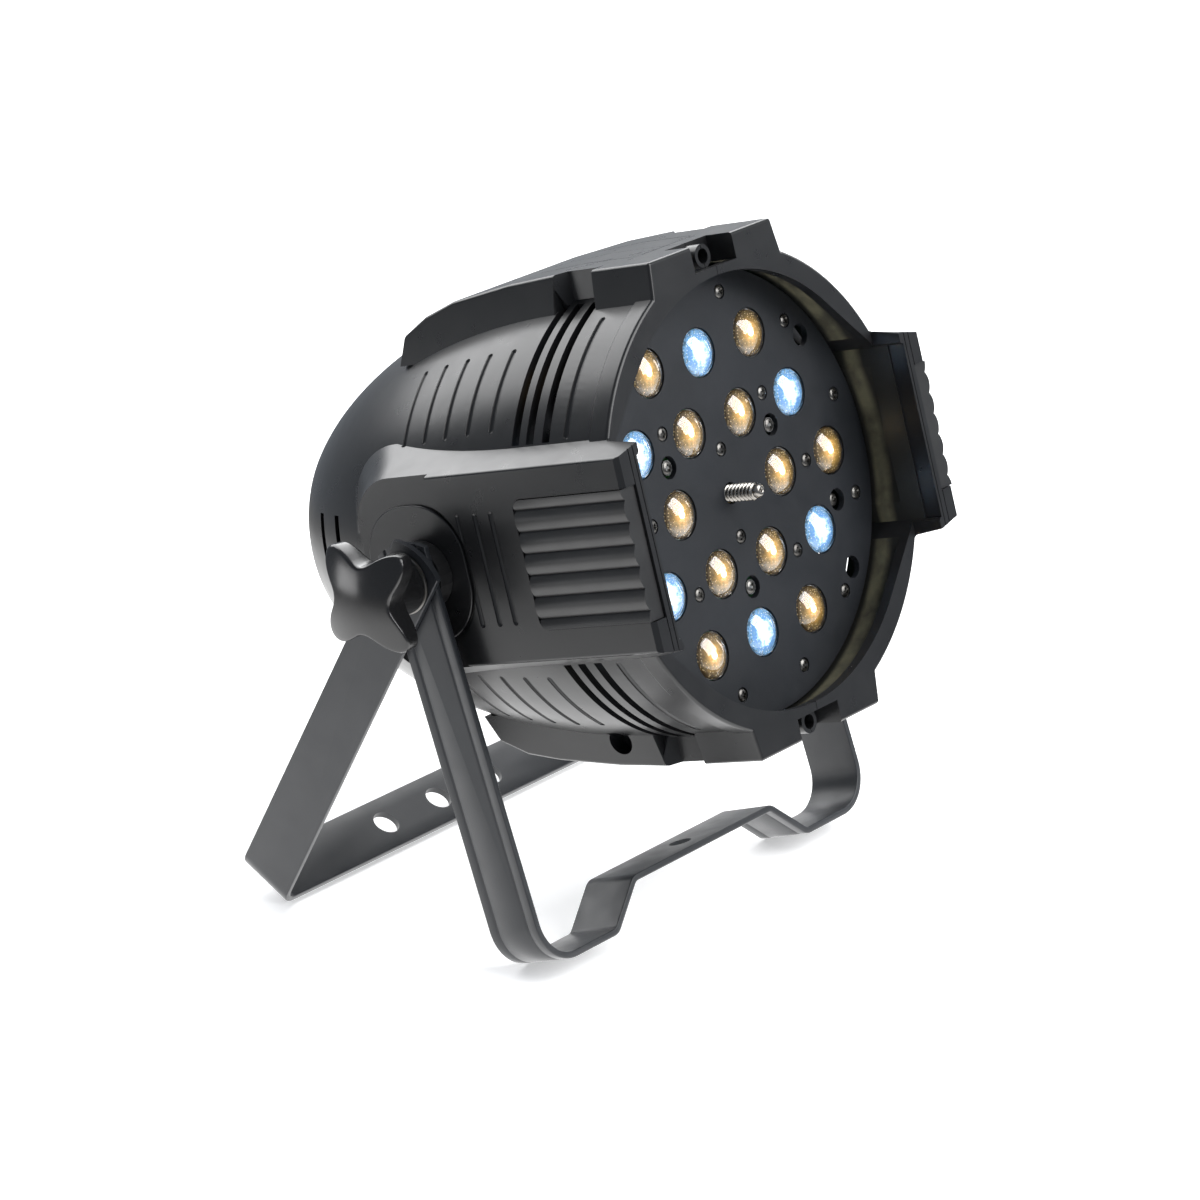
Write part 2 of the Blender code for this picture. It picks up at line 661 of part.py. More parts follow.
def make_display(board_mat, glass, parent):
    board = centred_box("board", (0.0, 0.0235), 0.0600, 0.0340, 0.1885, 0.1901)
    join(board, centred_box("digits", DISPLAY_PLACE, 0.0380, 0.0120, 0.1895, 0.1990))
    finish(board, "display_board", board_mat, parent)
    face = PANEL_Y + PANEL_T + GAP
    window = centred_box("window", DISPLAY_PLACE, 0.0450, 0.0180, face, face + 0.0012)
    finish(window, "display_window", glass, parent)


def make_sockets(black, metal, parent):
    """Signal sockets, mains inlet, fuse holder and the eye for a safety wire."""
    face = PANEL_Y + PANEL_T + GAP
    for name, place_xz in PANEL_HOLES.items():
        socket = cylinder("body", "Y", 0.1780, face + 0.002, 0.0108, place_xz, 16)
        join(socket, centred_box("flange", place_xz, 0.0255, 0.0255, face, face + 0.0025))
        mouth = face + 0.0035
        join(socket, cylinder("rim", "Y", face + 0.001, mouth, 0.0098, place_xz, 16))
        cut(socket, cylinder("bore", "Y", 0.1880, 0.22, 0.0078, place_xz, 16))
        male = name == "dmx_in"
        low, high = (0.1870, 0.1990) if male else (0.1890, 0.2200)
        pins = []
        for angle in (90, 210, 330):
            a = math.radians(angle)
            pin = (place_xz[0] + 0.0042 * math.cos(a), place_xz[1] + 0.0042 * math.sin(a))
            pins.append(cylinder("pin", "Y", low, high, 0.0012, pin, 6))
        if male:
            join(socket, group("pins", pins))
        else:
            core = cylinder("core", "Y", 0.1870, mouth - 0.001, 0.0068, place_xz, 16)
            cut(core, group("pin_holes", pins))
            join(socket, core)
        finish(socket, name, metal, parent)

    inlet = centred_box("body", INLET_PLACE, 0.0270, 0.0190, 0.1780, face + 0.001)
    join(inlet, centred_box("flange", INLET_PLACE, 0.0305, 0.0225, face, face + 0.0030))
    cut(inlet, centred_box("well", INLET_PLACE, 0.0235, 0.0155, 0.1850, 0.22))
    blades = []
    for x, z in ((-0.007, -0.0015), (0.007, -0.0015), (0.0, 0.0025)):
        centre = (INLET_PLACE[0] + x, INLET_PLACE[1] + z)
        blades.append(centred_box("blade", centre, 0.0020, 0.0040, 0.1840, 0.2000))
    join(inlet, group("blades", blades))
    finish(inlet, "power_inlet", black, parent)

    fuse = cylinder("body", "Y", 0.1800, face + 0.001, 0.0052, FUSE_PLACE, 12)
    join(fuse, cylinder("cap", "Y", face, face + 0.0060, 0.0068, FUSE_PLACE, 12))
    slot = centred_box("slot", FUSE_PLACE, 0.0090, 0.0016, face + 0.0048, 0.22)
    finish(cut(fuse, slot), "fuse_holder", black, parent)

    x, z = EYE_PLACE
    stud = cylinder("stud", "Y", 0.1900, face + 0.004, 0.0026, EYE_PLACE, 10)
    join(stud, cylinder("collar", "Y", face, face + 0.0020, 0.0062, EYE_PLACE, 16))
    ring = arc((face + 0.0085, z), 0.0058, -155, 155, 10)
    bow = tube("bow", [(x, y, v) for y, v in ring], 0.0016, 6)
    foot = box("foot", (x - 0.0020, face + 0.0010, z - 0.0052), (x + 0.0020, face + 0.0048, z + 0.0052))
    finish(join(stud, foot, bow), "safety_eye", metal, parent)


def make_seam_screws(steel, parent):
    for sign, name in ((1, "seam_screw_top"), (-1, "seam_screw_bottom")):
        profile = [(0.0, -0.0045), (0.0024, -0.0043), (0.0029, -0.0034), (0.0029, -0.0028)]
        profile += [(0.0014, -0.0026), (0.0014, 0.0005), (0.0, 0.0005)]
        screw = turned("screw", profile, 12, centre=(0.0, sign * 0.1035))
        finish(screw, name, steel, parent)


# ---------------------------------------------------------------- the brackets
def rounded_path(corners, steps=5):
    """A polyline through (x, z, bend radius) corners, with its bends as arcs."""
    points = [Vector(corners[0][:2])]
    for before, corner, after in zip(corners, corners[1:], corners[2:]):
        here = Vector(corner[:2])
        towards = (Vector(before[:2]) - here).normalized()
        onwards = (Vector(after[:2]) - here).normalized()
        half = towards.angle(onwards) / 2
        reach = corner[2] / math.tan(half)
        centre = here + (towards + onwards).normalized() * corner[2] / math.sin(half)
        start = here + towards * reach - centre
        sweep = start.angle_signed(here + onwards * reach - centre)
        for i in range(steps + 1):
            turn = Matrix.Rotation(-sweep * i / steps, 2)
            points.append(centre + turn @ start)
    points.append(Vector(corners[-1][:2]))
    return points


def strip_outline(path, thickness):
    """The outline of a bar of this thickness bent along the path."""
    left, right = [], []
    for i, point in enumerate(path):
        along = path[min(i + 1, len(path) - 1)] - path[max(i - 1, 0)]
        normal = Vector((-along.y, along.x)).normalized() * thickness / 2
        left.append(tuple(point + normal))
        right.append(tuple(point - normal))
    return left + right[::-1]


def bent_bar(name, half_corners):
    """A bracket: the bar bent through the corners of one half, then mirrored."""
    mirrored = [(-x, z, r) for x, z, r in reversed(half_corners)]
    outline = strip_outline(rounded_path(half_corners + mirrored), BAR_T)
    bar = prism(name, outline, "Y", -BAR_W / 2, BAR_W / 2)
    half = BAR_W / 2
    ends = arc((0, BAR_TOP - BAR_W), BAR_W, 60, 120, 8) + [(-half, -0.250), (half, -0.250)]
    keep(bar, prism("ends", ends, "X", -0.150, 0.150))
    cut(bar, cylinder("bolt_holes", "X", -0.150, 0.150, HOLE_R))
    return bar


def lean(leg):
    """How far a leg of this length leans for its foot's low edge to touch the floor."""
    half = BAR_W / 2
    return math.atan2(half, leg) + math.acos(PIVOT_HEIGHT / math.hypot(half, leg))


def make_brackets(mat, front_frame, rear_frame):
    foot = -(FRONT_LEG - BAR_T / 2)
    middle = foot + FRONT_RISE
    leg_x = FRONT_X - BAR_T / 2
    corners = [(leg_x, BAR_TOP, 0), (leg_x, foot, 0.0185), (0.0700, foot, 0.006)]
    corners.append((0.0500, middle, 0.006))
    bar = bent_bar("front", corners)
    cut(bar, cylinder("clamp_hole", "Z", -0.200, -0.100, 0.0052))
    finish(bar, "front_bracket", mat, front_frame)

    foot = -(REAR_LEG - BAR_T / 2)
    leg_x = REAR_X - BAR_T / 2
    bar = bent_bar("rear", [(leg_x, BAR_TOP, 0), (leg_x, foot, 0.0065)])
    holes = [cylinder("hole", "Z", -0.200, -0.100, 0.0063, (x, 0.0), 16) for x in (-0.037, 0.0, 0.037)]
    finish(cut(bar, group("holes", holes)), "rear_bracket", mat, rear_frame)


# ---------------------------------------------------------------- the assembly
def make_frame(name, location, turn):
    frame = bpy.data.objects.new(name, None)
    bpy.context.collection.objects.link(frame)
    frame.location = location
    frame.rotation_euler = (turn, 0.0, 0.0)
    return frame


def main():
    for obj in list(bpy.data.objects):
        bpy.data.objects.remove(obj)

    black = material("black_plastic", (0.012, 0.012, 0.013), 0.42)
    plate_black = material("plate_black", (0.010, 0.011, 0.013), 0.55)
    paint = material("black_paint", (0.016, 0.017, 0.020), 0.50)
    rubber = material("rubber", (0.014, 0.014, 0.014), 0.60)
    lens = material("clear_acrylic", (0.75, 0.70, 0.60), 0.08)
    steel = material("steel", (0.62, 0.61, 0.60), 0.25, 1.0)
    brass = material("brass", (0.70, 0.52, 0.24), 0.30, 1.0)
    aluminium = material("aluminium", (0.72, 0.73, 0.75), 0.35, 1.0)
    board = material("circuit_board", (0.03, 0.16, 0.07), 0.50)
    window = material("smoked_window", (0.05, 0.01, 0.01), 0.10)

    pivot_y = PIVOT_BACK * math.cos(TILT)
    plate_z = PIVOT_HEIGHT + PIVOT_BACK * math.sin(TILT)
    plate_y = CENTRE_SHIFT - pivot_y
    can = make_frame("can_frame", (0.0, plate_y, plate_z), -TILT)
    pivot_place = (0.0, CENTRE_SHIFT, PIVOT_HEIGHT)
    pivot = make_frame("pivot_frame", pivot_place, -TILT)
    front = make_frame("front_bracket_frame", pivot_place, -lean(FRONT_LEG))
    rear = make_frame("rear_bracket_frame", pivot_place, lean(REAR_LEG))

    make_shells(black, can)
    make_grip_pads(rubber, can)
    make_lens_plate(plate_black, can)
    make_lens_array(lens, can)
    make_zoom_drive(steel, brass, plate_black, can)
    make_led_board(board, aluminium, can)
    make_fan(black, can)
    make_electronics(board, aluminium, can)
    make_rear_panel(plate_black, can)
    make_buttons(rubber, can)
    make_display(board, window, can)
    make_sockets(black, steel, can)
    make_seam_screws(steel, can)
    make_pivot_hardware(steel, rubber, pivot)
    make_knobs(black, pivot)
    make_brackets(paint, front, rear)
    bpy.context.view_layer.update()


main()
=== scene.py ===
"""Looks of the par can stage light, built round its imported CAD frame.

Metres, +Z up. The head's pieces are modelled in the can frame: X is sideways, Y runs
back along the optical axis from the lens plate's front face, and Z is the radial
direction that is up when the lamp looks level. The brackets are modelled in their own
frames at the pivot axis, with Z along the legs.
"""

import json
import math
import random

import bmesh
import bpy
from mathutils import Matrix, Vector


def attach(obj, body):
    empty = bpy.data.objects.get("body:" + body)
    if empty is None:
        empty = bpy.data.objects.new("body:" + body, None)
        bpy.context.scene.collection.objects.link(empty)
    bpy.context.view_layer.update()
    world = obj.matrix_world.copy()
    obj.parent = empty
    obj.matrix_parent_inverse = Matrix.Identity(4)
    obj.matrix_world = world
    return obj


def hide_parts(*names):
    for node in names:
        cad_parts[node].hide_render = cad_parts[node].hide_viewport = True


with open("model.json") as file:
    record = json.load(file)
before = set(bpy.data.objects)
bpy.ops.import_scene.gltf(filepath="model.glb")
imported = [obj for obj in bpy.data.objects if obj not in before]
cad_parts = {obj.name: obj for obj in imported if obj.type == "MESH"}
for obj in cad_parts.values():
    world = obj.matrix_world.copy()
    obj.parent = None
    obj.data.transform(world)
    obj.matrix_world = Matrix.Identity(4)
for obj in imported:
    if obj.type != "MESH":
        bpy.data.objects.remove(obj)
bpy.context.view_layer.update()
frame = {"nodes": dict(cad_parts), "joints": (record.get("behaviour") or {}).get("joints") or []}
nodes = frame["nodes"]
joints = {j["name"]: j for j in frame["joints"]}

# -------- sizes: the CAD's, and those of details that only the looks have
GAP = 0.0003
MERGE = 1.2e-5
FLAT_ANGLE = 0.002
ROUND_STEPS = 180
TILT = math.atan2(joints["zoom_slide"]["axis"][2], -joints["zoom_slide"]["axis"][1])
PLATE = Vector(joints["zoom_screw_spin"]["pos_m"])
PIVOT = Vector(joints["front_bracket_pivot"]["pos_m"])
PIVOT_BACK = 0.085
BODY_R = 0.104
RIM_R = 0.105
RIM_FRONT = -0.020
LIP_DEPTH = 0.005
OPENING_R = 0.0947
INNER_R = 0.0995
TAPER_START = 0.030
DOME_LENGTH = 0.200
INNER_DOME = 0.1955
REAR = 0.200
EAR_X = 0.1085
EAR_FRONT = -0.035
EAR_REAR = 0.117
EAR_HALF = 0.0415
EAR_INNER_X = 0.0945
BOSS_X = 0.1073
POCKET_X = 0.1050
NOSE_X = 0.0998
EAR_HOLLOW_X = 0.1020
PANEL_END = 0.0725
PANEL_DROP = 0.0028
EAR_CUT_X = 0.1140
POCKET_HALF = 0.0285
POCKET_REAR = 0.0270
NOSE_STEP = -0.0120
EDGE_ROUND = 0.0010
EAR_GROOVES = (0.0587, 0.0490, 0.0400)
FLANK_GROOVES = (0.1040, 0.0900, 0.0760, 0.0618, 0.0475)
FRONT_GROOVE = 0.0040
GROOVE_HALF = 0.0015
GROOVE_DEPTH = 0.0011
SPINE_HALF = 0.0425
SPINE_TOP = 0.1100
SPINE_BOTTOM = 0.1085
SPINE_STEP = 0.0015
SEAM_SCREW_Z = 0.1035
CORD_HOLE = (0.0545, -0.0957)
VENT_STARTS = (0.0130, 0.0220, 0.0300)
VENT_WIDTH = 0.0042
VENT_ANGLES = (27.5, 67.5)
REAR_VENTS = (0.1570, 0.1735)
LENS_PITCH = 0.036
LENS_R = 0.0104
DOME_FRONT = -0.0040
DOME_HEIGHT = 0.0048
DOME_WALL = 0.0005
CORE_R = 0.0097
CORE_HEIGHT = 0.0008
PLATE_R = 0.098
PLATE_T = 0.003
ROD_CIRCLE = 0.042
ROD_ANGLES = (30.0, 150.0, 270.0)
PLATE_HOLE_R = 0.005
SEAT_R = 0.0034
SEAT_DEPTH = 0.0008
SCREW_R = 0.004
STUD_PITCH = 0.0020
STUD_CORE_R = 0.0028
STUD_CREST = 0.0012
STUD_START = -0.0150
STUD_END = 0.0554
BAR_T = 0.003
BAR_W = 0.0275
BAR_EDGE_R = 0.0006
FRONT_X = 0.1185
FRONT_LEG = 0.1765
FRONT_RISE = 0.0175
FRONT_HOLE_R = 0.0052
REAR_X = 0.1218
REAR_LEG = 0.1850
REAR_HOLE_R = 0.0063
REAR_HOLES = (-0.037, 0.0, 0.037)
BAR_TOP = 0.0164
BOLT_R = 0.005
HOLE_R = 0.0055
KNOB_BASE = 0.1240
KNOB_BACK = 0.1392
KNOB_TOP = 0.1519
KNOB_DOME = 0.0695
KNOB_MEAN_R = 0.0207
KNOB_LOBE = 0.0066
KNOB_TIP = 0.0010
KNOB_TURN = math.radians(57.5)
KNOB_STEPS = 144
NECK_R = 0.0130
WASHER_R = 0.0135
PANEL_R = 0.0510
PANEL_Y = 0.1973

# -------- camera and light
FOCAL_LENGTH = 153.53
SENSOR = 36.0
CAMERA_FROM_PLATE = Vector((-1.6671, -1.2364, 0.7329))
CAMERA_RIGHT = Vector((0.6173, -0.7867, 0.0))
CAMERA_BACK = Vector((-0.7362, -0.5776, 0.3527))
LIGHT_AIM = Vector((0.0, 0.0, 0.18))
SOFTBOXES = (
    # name, place, width, height, power in watts
    ("back_softbox", (0.60, 1.12, 1.165), 2.6, 1.35, 52.0),
    ("front_softbox", (0.35, -1.08, 1.16), 1.25, 1.40, 34.0),
    ("right_panel", (1.48, -0.13, 0.39), 0.80, 0.70, 5.3),
    ("left_card", (-0.56, 0.49, 0.06), 0.21, 0.14, 0.45),
)
FLOOR_GLOW = 0.42
POOL_CENTRE = (-0.05, -0.05)
POOL_R = 0.70
POOL_BRIGHT_R = 0.36
POOL_DIM_R = 0.60
POOL_BRIGHT = 2.3
POOL_DIM = 0.36
WHITE = (1.0, 1.0, 1.0, 1.0)
ROOM = (0.275, 0.300, 0.335, 1.0)
BACKDROP = (0.97, 0.97, 0.97, 1.0)


def leaning(spot, angle):
    """A frame at spot, turned about X."""
    return Matrix.Translation(spot) @ Matrix.Rotation(angle, 4, "X")


CAN = leaning(PLATE, -TILT)
HEAD = leaning(PIVOT, -TILT)


# -------- mesh helpers
def add_object(name, data):
    obj = bpy.data.objects.new(name, data)
    bpy.context.collection.objects.link(obj)
    return obj


def new_object(name, bm):
    bmesh.ops.recalc_face_normals(bm, faces=bm.faces)
    mesh = bpy.data.meshes.new(name)
    bm.to_mesh(mesh)
    bm.free()
    return add_object(name, mesh)


def ring_faces(bm, first, second):
    count = len(first)
    for i in range(count):
        j = (i + 1) % count
        bm.faces.new((first[i], first[j], second[j], second[i]))


def loft(name, rings):
    """A closed solid through rings of 3-D points that have equal counts."""
    bm = bmesh.new()
    loops = [[bm.verts.new(p) for p in ring] for ring in rings]
    for first, second in zip(loops, loops[1:]):
        ring_faces(bm, first, second)
    bm.faces.new(loops[0])
    bm.faces.new(loops[-1])
    return new_object(name, bm)


def place(axis, level, u, v):
    """The point (u, v) of the plane that stands at a level on an axis."""
    return {"X": (level, u, v), "Y": (u, level, v), "Z": (u, v, level)}[axis]


def prism(name, outline, axis, low, high):
    rings = [[place(axis, level, u, v) for u, v in outline] for level in (low, high)]
    return loft(name, rings)


def box(name, low, high):
    (x0, y0, z0), (x1, y1, z1) = low, high
    return prism(name, [(x0, y0), (x1, y0), (x1, y1), (x0, y1)], "Z", z0, z1)


def arc(centre, radius, start, stop, steps):
    points = []
    for i in range(steps + 1):
        angle = math.radians(start + (stop - start) * i / steps)
        points.append((centre[0] + radius * math.cos(angle),
                       centre[1] + radius * math.sin(angle)))
    return points


def circle(radius, steps, centre=(0.0, 0.0)):
    return arc(centre, radius, 0.0, 360.0, steps)[:-1]


def rectangle(start, stop, half):
    """A rectangle from start to stop that reaches half to either side."""
    return [(start, -half), (stop, -half), (stop, half), (start, half)]


def rounded_rectangle(low, high, radius, steps):
    u0, v0 = low
    u1, v1 = high
    right, top, left, bottom = u1 - radius, v1 - radius, u0 + radius, v0 + radius
    outline = []
    for k, centre in enumerate(((right, top), (left, top), (left, bottom), (right, bottom))):
        outline += arc(centre, radius, 90 * k, 90 * (k + 1), steps)
    return outline


def cylinder(name, axis, low, high, radius, centre=(0.0, 0.0), steps=48):
    return prism(name, circle(radius, steps, centre), axis, low, high)


def turned(name, profile, steps, centre=(0.0, 0.0)):
    """A solid turned about Y from (radius, level) points; the two end points are on the axis."""
    bm = bmesh.new()
    start = bm.verts.new(place("Y", profile[0][1], *centre))
    end = bm.verts.new(place("Y", profile[-1][1], *centre))
    loops = []
    for radius, level in profile[1:-1]:
        outline = circle(radius, steps, centre)
        loops.append([bm.verts.new(place("Y", level, u, v)) for u, v in outline])
    for first, second in zip(loops, loops[1:]):
        ring_faces(bm, first, second)
    for tip, loop in ((start, loops[0]), (end, loops[-1])):
        for i in range(steps):
            bm.faces.new((tip, loop[i], loop[(i + 1) % steps]))
    return new_object(name, bm)


def swept(name, points, sides, across, out):
    """A rounded bead along points given as (place, outward direction).

    Its section is an ellipse, across by out, and its ends are round.
    """
    count = len(points)
    cap = 5
    path = []
    for i, (spot, normal) in enumerate(points):
        ahead = points[min(i + 1, count - 1)][0]
        behind = points[max(i - 1, 0)][0]
        path.append((spot, normal, (ahead - behind).normalized(), 1.0))
    first, last = path[0], path[-1]
    head = []
    tail = []
    for k in range(cap, 0, -1):
        angle = math.pi / 2 * k / (cap + 0.35)
        shift = across * math.sin(angle)
        scale = math.cos(angle)
        head.append((first[0] - first[2] * shift, first[1], first[2], scale))
        tail.append((last[0] + last[2] * shift, last[1], last[2], scale))
    rings = []
    for spot, normal, along, scale in head + path + tail[::-1]:
        side = along.cross(normal).normalized()
        ring = []
        for k in range(sides):
            angle = 2 * math.pi * k / sides
            offset = across * math.cos(angle) * side + out * math.sin(angle) * normal
            ring.append(spot + scale * offset)
        rings.append(ring)
    return loft(name, rings)


def combine(target, tools, operation):
    for tool in tools:
        modifier = target.modifiers.new("boolean", "BOOLEAN")
        modifier.operation = operation
        modifier.solver = "MANIFOLD"
        modifier.object = tool
        depsgraph = bpy.context.evaluated_depsgraph_get()
        depsgraph.update()
        mesh = bpy.data.meshes.new_from_object(target.evaluated_get(depsgraph))
        target.modifiers.clear()
        target.data = mesh
        bpy.data.objects.remove(tool)
    return target


def cut(target, *tools):
    return combine(target, tools, "DIFFERENCE")


def join(target, *tools):
    return combine(target, tools, "UNION")


def keep(target, *tools):
    return combine(target, tools, "INTERSECT")


def group(name, parts):
    bm = bmesh.new()
    for part in parts:
        bm.from_mesh(part.data)
        bpy.data.objects.remove(part)
    return new_object(name, bm)


def both_sides(make):
    return [make(side) for side in (-1, 1)]


def side_prism(name, outline, side, near, far):
    low, high = sorted((side * near, side * far))
    return prism(name, outline, "X", low, high)


def even_normals(obj):
    """Let the flat faces keep flat shading beside rounded edges."""
    even = obj.modifiers.new("even_normals", "WEIGHTED_NORMAL")
    even.keep_sharp = True


def bevel(obj, width):
    """Round the finished mesh's sharp edges."""
    modifier = obj.modifiers.new("bevel", "BEVEL")
    modifier.width = width
    modifier.segments = 2
    modifier.limit_method = "ANGLE"
    modifier.angle_limit = math.radians(32.0)
    even_normals(obj)


def round_edges(obj, width, wanted):
    """Round the sharp edges whose middles pass the test wanted, before any boolean."""
    bm = bmesh.new()
    bm.from_mesh(obj.data)
    bmesh.ops.remove_doubles(bm, verts=bm.verts, dist=2e-6)
    bmesh.ops.dissolve_limit(bm, angle_limit=FLAT_ANGLE, verts=bm.verts, edges=bm.edges)
    edges = [e for e in bm.edges if e.calc_face_angle(0.0) > 0.35
             and wanted((e.verts[0].co + e.verts[1].co) / 2)]
    bmesh.ops.bevel(bm, geom=edges, offset=width, segments=3, profile=0.5, affect="EDGES",
                    clamp_overlap=True)
    bm.to_mesh(obj.data)
    bm.free()
    return obj


def finish(obj, name, mat, matrix, body, replaces=(), sharp=38.0):
    """Name the piece, clean its mesh, put it in the shared frame and hang it on its body."""
    bm = bmesh.new()
    bm.from_mesh(obj.data)
    bmesh.ops.remove_doubles(bm, verts=bm.verts, dist=MERGE)
    bmesh.ops.dissolve_degenerate(bm, edges=bm.edges, dist=MERGE)
    bmesh.ops.dissolve_limit(bm, angle_limit=FLAT_ANGLE, verts=bm.verts, edges=bm.edges)
    bmesh.ops.recalc_face_normals(bm, faces=bm.faces)
    bm.to_mesh(obj.data)
    bm.free()
    obj.data.transform(matrix)
    obj.name = name
    obj.data.name = name
    obj.data.materials.clear()
    obj.data.materials.append(mat)
    obj.data.shade_smooth()
    obj.data.set_sharp_from_angle(angle=math.radians(sharp))
    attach(obj, body)
    if replaces:
        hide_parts(*replaces)


# -------- materials
def new_material(name, colour, roughness, **values):
    """A material with its shader's inputs set by name, with _ for each space."""
    mat = bpy.data.materials.new(name)
    mat.use_nodes = True
    inputs = shader_of(mat).inputs
    inputs["Base Color"].default_value = (*colour, 1.0)
    inputs["Roughness"].default_value = roughness
    for key, value in values.items():
        inputs[key.replace("_", " ")].default_value = value
    return mat


def node(mat, kind, **values):
    """A new node with its settings, or else its inputs, set by name."""
    made = mat.node_tree.nodes.new(kind)
    for key, value in values.items():
        if hasattr(made, key):
            setattr(made, key, value)
        else:
            made.inputs[key].default_value = value
    return made


def link(mat, output, target):
    mat.node_tree.links.new(output, target)


def shader_of(mat):
    return mat.node_tree.nodes["Principled BSDF"]


def to_shader(mat, output, name):
    link(mat, output, shader_of(mat).inputs[name])


def of_type(sockets, kind):
    return [socket for socket in sockets if socket.type == kind]


def object_place(mat):
    """The point's place in metres, which stays with the piece when it moves."""
    return node(mat, "ShaderNodeTexCoord").outputs["Object"]


def noise(mat, scale, detail=2.0, rough=0.5):
    made = node(mat, "ShaderNodeTexNoise", Scale=scale, Detail=detail, Roughness=rough)
    link(mat, object_place(mat), made.inputs["Vector"])
    return made.outputs["Fac"]


def remap(mat, value, low, high, low_out, high_out):
    made = node(mat, "ShaderNodeMapRange")
    made.inputs["From Min"].default_value = low
    made.inputs["From Max"].default_value = high
    made.inputs["To Min"].default_value = low_out
    made.inputs["To Max"].default_value = high_out
    link(mat, value, made.inputs["Value"])
    return made.outputs["Result"]


def product(mat, first, second):
    made = node(mat, "ShaderNodeMath", operation="MULTIPLY")
    link(mat, first, made.inputs[0])
    link(mat, second, made.inputs[1])
    return made.outputs["Value"]


def add_bump(mat, height, strength, distance, edge=0.0):
    """A bump on the shader's normal, over edges rounded by the radius edge."""
    bump = node(mat, "ShaderNodeBump", Strength=strength, Distance=distance)
    link(mat, height, bump.inputs["Height"])
    if edge > 0.0:
        rounded = node(mat, "ShaderNodeBevel", samples=4, Radius=edge)
        link(mat, rounded.outputs["Normal"], bump.inputs["Normal"])
    to_shader(mat, bump.outputs["Normal"], "Normal")


def mix_colours(mat, factor, first, second):
    """A blend from first, a colour or an output that gives one, to the colour second."""
    made = node(mat, "ShaderNodeMix", data_type="RGBA")
    colours = of_type(made.inputs, "RGBA")
    if isinstance(first, tuple):
        colours[0].default_value = (*first, 1.0)
    else:
        link(mat, first, colours[0])
    colours[1].default_value = (*second, 1.0)
    link(mat, factor, of_type(made.inputs, "VALUE")[0])
    return of_type(made.outputs, "RGBA")[0]


def grained(name, dark, light, roughness, grain, depth, edge=0.0, metallic=0.0, specular=0.5):
    """A surface with a fine grain, cloudy gloss between two values and faint changes of tone."""
    rough_low, rough_high = roughness
    mat = new_material(name, dark, rough_low, Metallic=metallic, Specular_IOR_Level=specular)
    cloud = remap(mat, noise(mat, 28.0, 4.0), 0.35, 0.65, 0.0, 1.0)
    to_shader(mat, mix_colours(mat, cloud, dark, light), "Base Color")
    gloss = remap(mat, noise(mat, 95.0, 3.0), 0.3, 0.7, rough_low, rough_high)
    to_shader(mat, gloss, "Roughness")
    add_bump(mat, noise(mat, grain, 2.0, 0.6), depth, 0.0002, edge)
    return mat


# name, dark and light tones, roughness from and to, grain's scale and depth
housing_black = grained(
    "housing_black", (0.0080, 0.0082, 0.0090), (0.0100, 0.0103, 0.0112),
    (0.27, 0.32), 2400.0, 0.03, specular=0.45)
pad_black = grained(
    "pad_black", (0.011, 0.011, 0.0115), (0.016, 0.016, 0.0165),
    (0.34, 0.42), 1600.0, 0.06)
plate_black = grained(
    "plate_black", (0.0066, 0.0080, 0.0105), (0.0095, 0.0112, 0.0145),
    (0.44, 0.54), 2600.0, 0.14, 0.0002, specular=0.38)
bracket_paint = grained(
    "bracket_paint", (0.0125, 0.0142, 0.0175), (0.0165, 0.0185, 0.022),
    (0.36, 0.44), 2300.0, 0.10)
knob_black = grained(
    "knob_black", (0.007, 0.007, 0.0075), (0.009, 0.009, 0.0095),
    (0.18, 0.23), 2000.0, 0.04)
zinc = grained(
    "zinc", (0.52, 0.51, 0.49), (0.66, 0.65, 0.62),
    (0.20, 0.32), 900.0, 0.12, metallic=1.0)
dark_steel = grained(
    "dark_steel", (0.10, 0.095, 0.09), (0.17, 0.165, 0.155),
    (0.26, 0.38), 1200.0, 0.12, metallic=1.0)
stud_steel = grained(
    "stud_steel", (0.27, 0.255, 0.235), (0.36, 0.345, 0.32),
    (0.22, 0.30), 900.0, 0.08, metallic=1.0)
brass = grained(
    "brass", (0.62, 0.44, 0.17), (0.72, 0.54, 0.26),
    (0.22, 0.34), 700.0, 0.10, metallic=1.0)
aluminium = grained(
    "aluminium", (0.62, 0.63, 0.65), (0.74, 0.75, 0.77),
    (0.30, 0.42), 800.0, 0.15, metallic=1.0)
board_green = grained(
    "board_green", (0.012, 0.10, 0.035), (0.02, 0.14, 0.05),
    (0.30, 0.42), 300.0, 0.10)
key_rubber = grained(
    "key_rubber", (0.03, 0.03, 0.032), (0.045, 0.045, 0.047),
    (0.50, 0.62), 900.0, 0.15)
smoked = grained(
    "smoked", (0.012, 0.004, 0.004), (0.018, 0.006, 0.006),
    (0.05, 0.09), 200.0, 0.02)


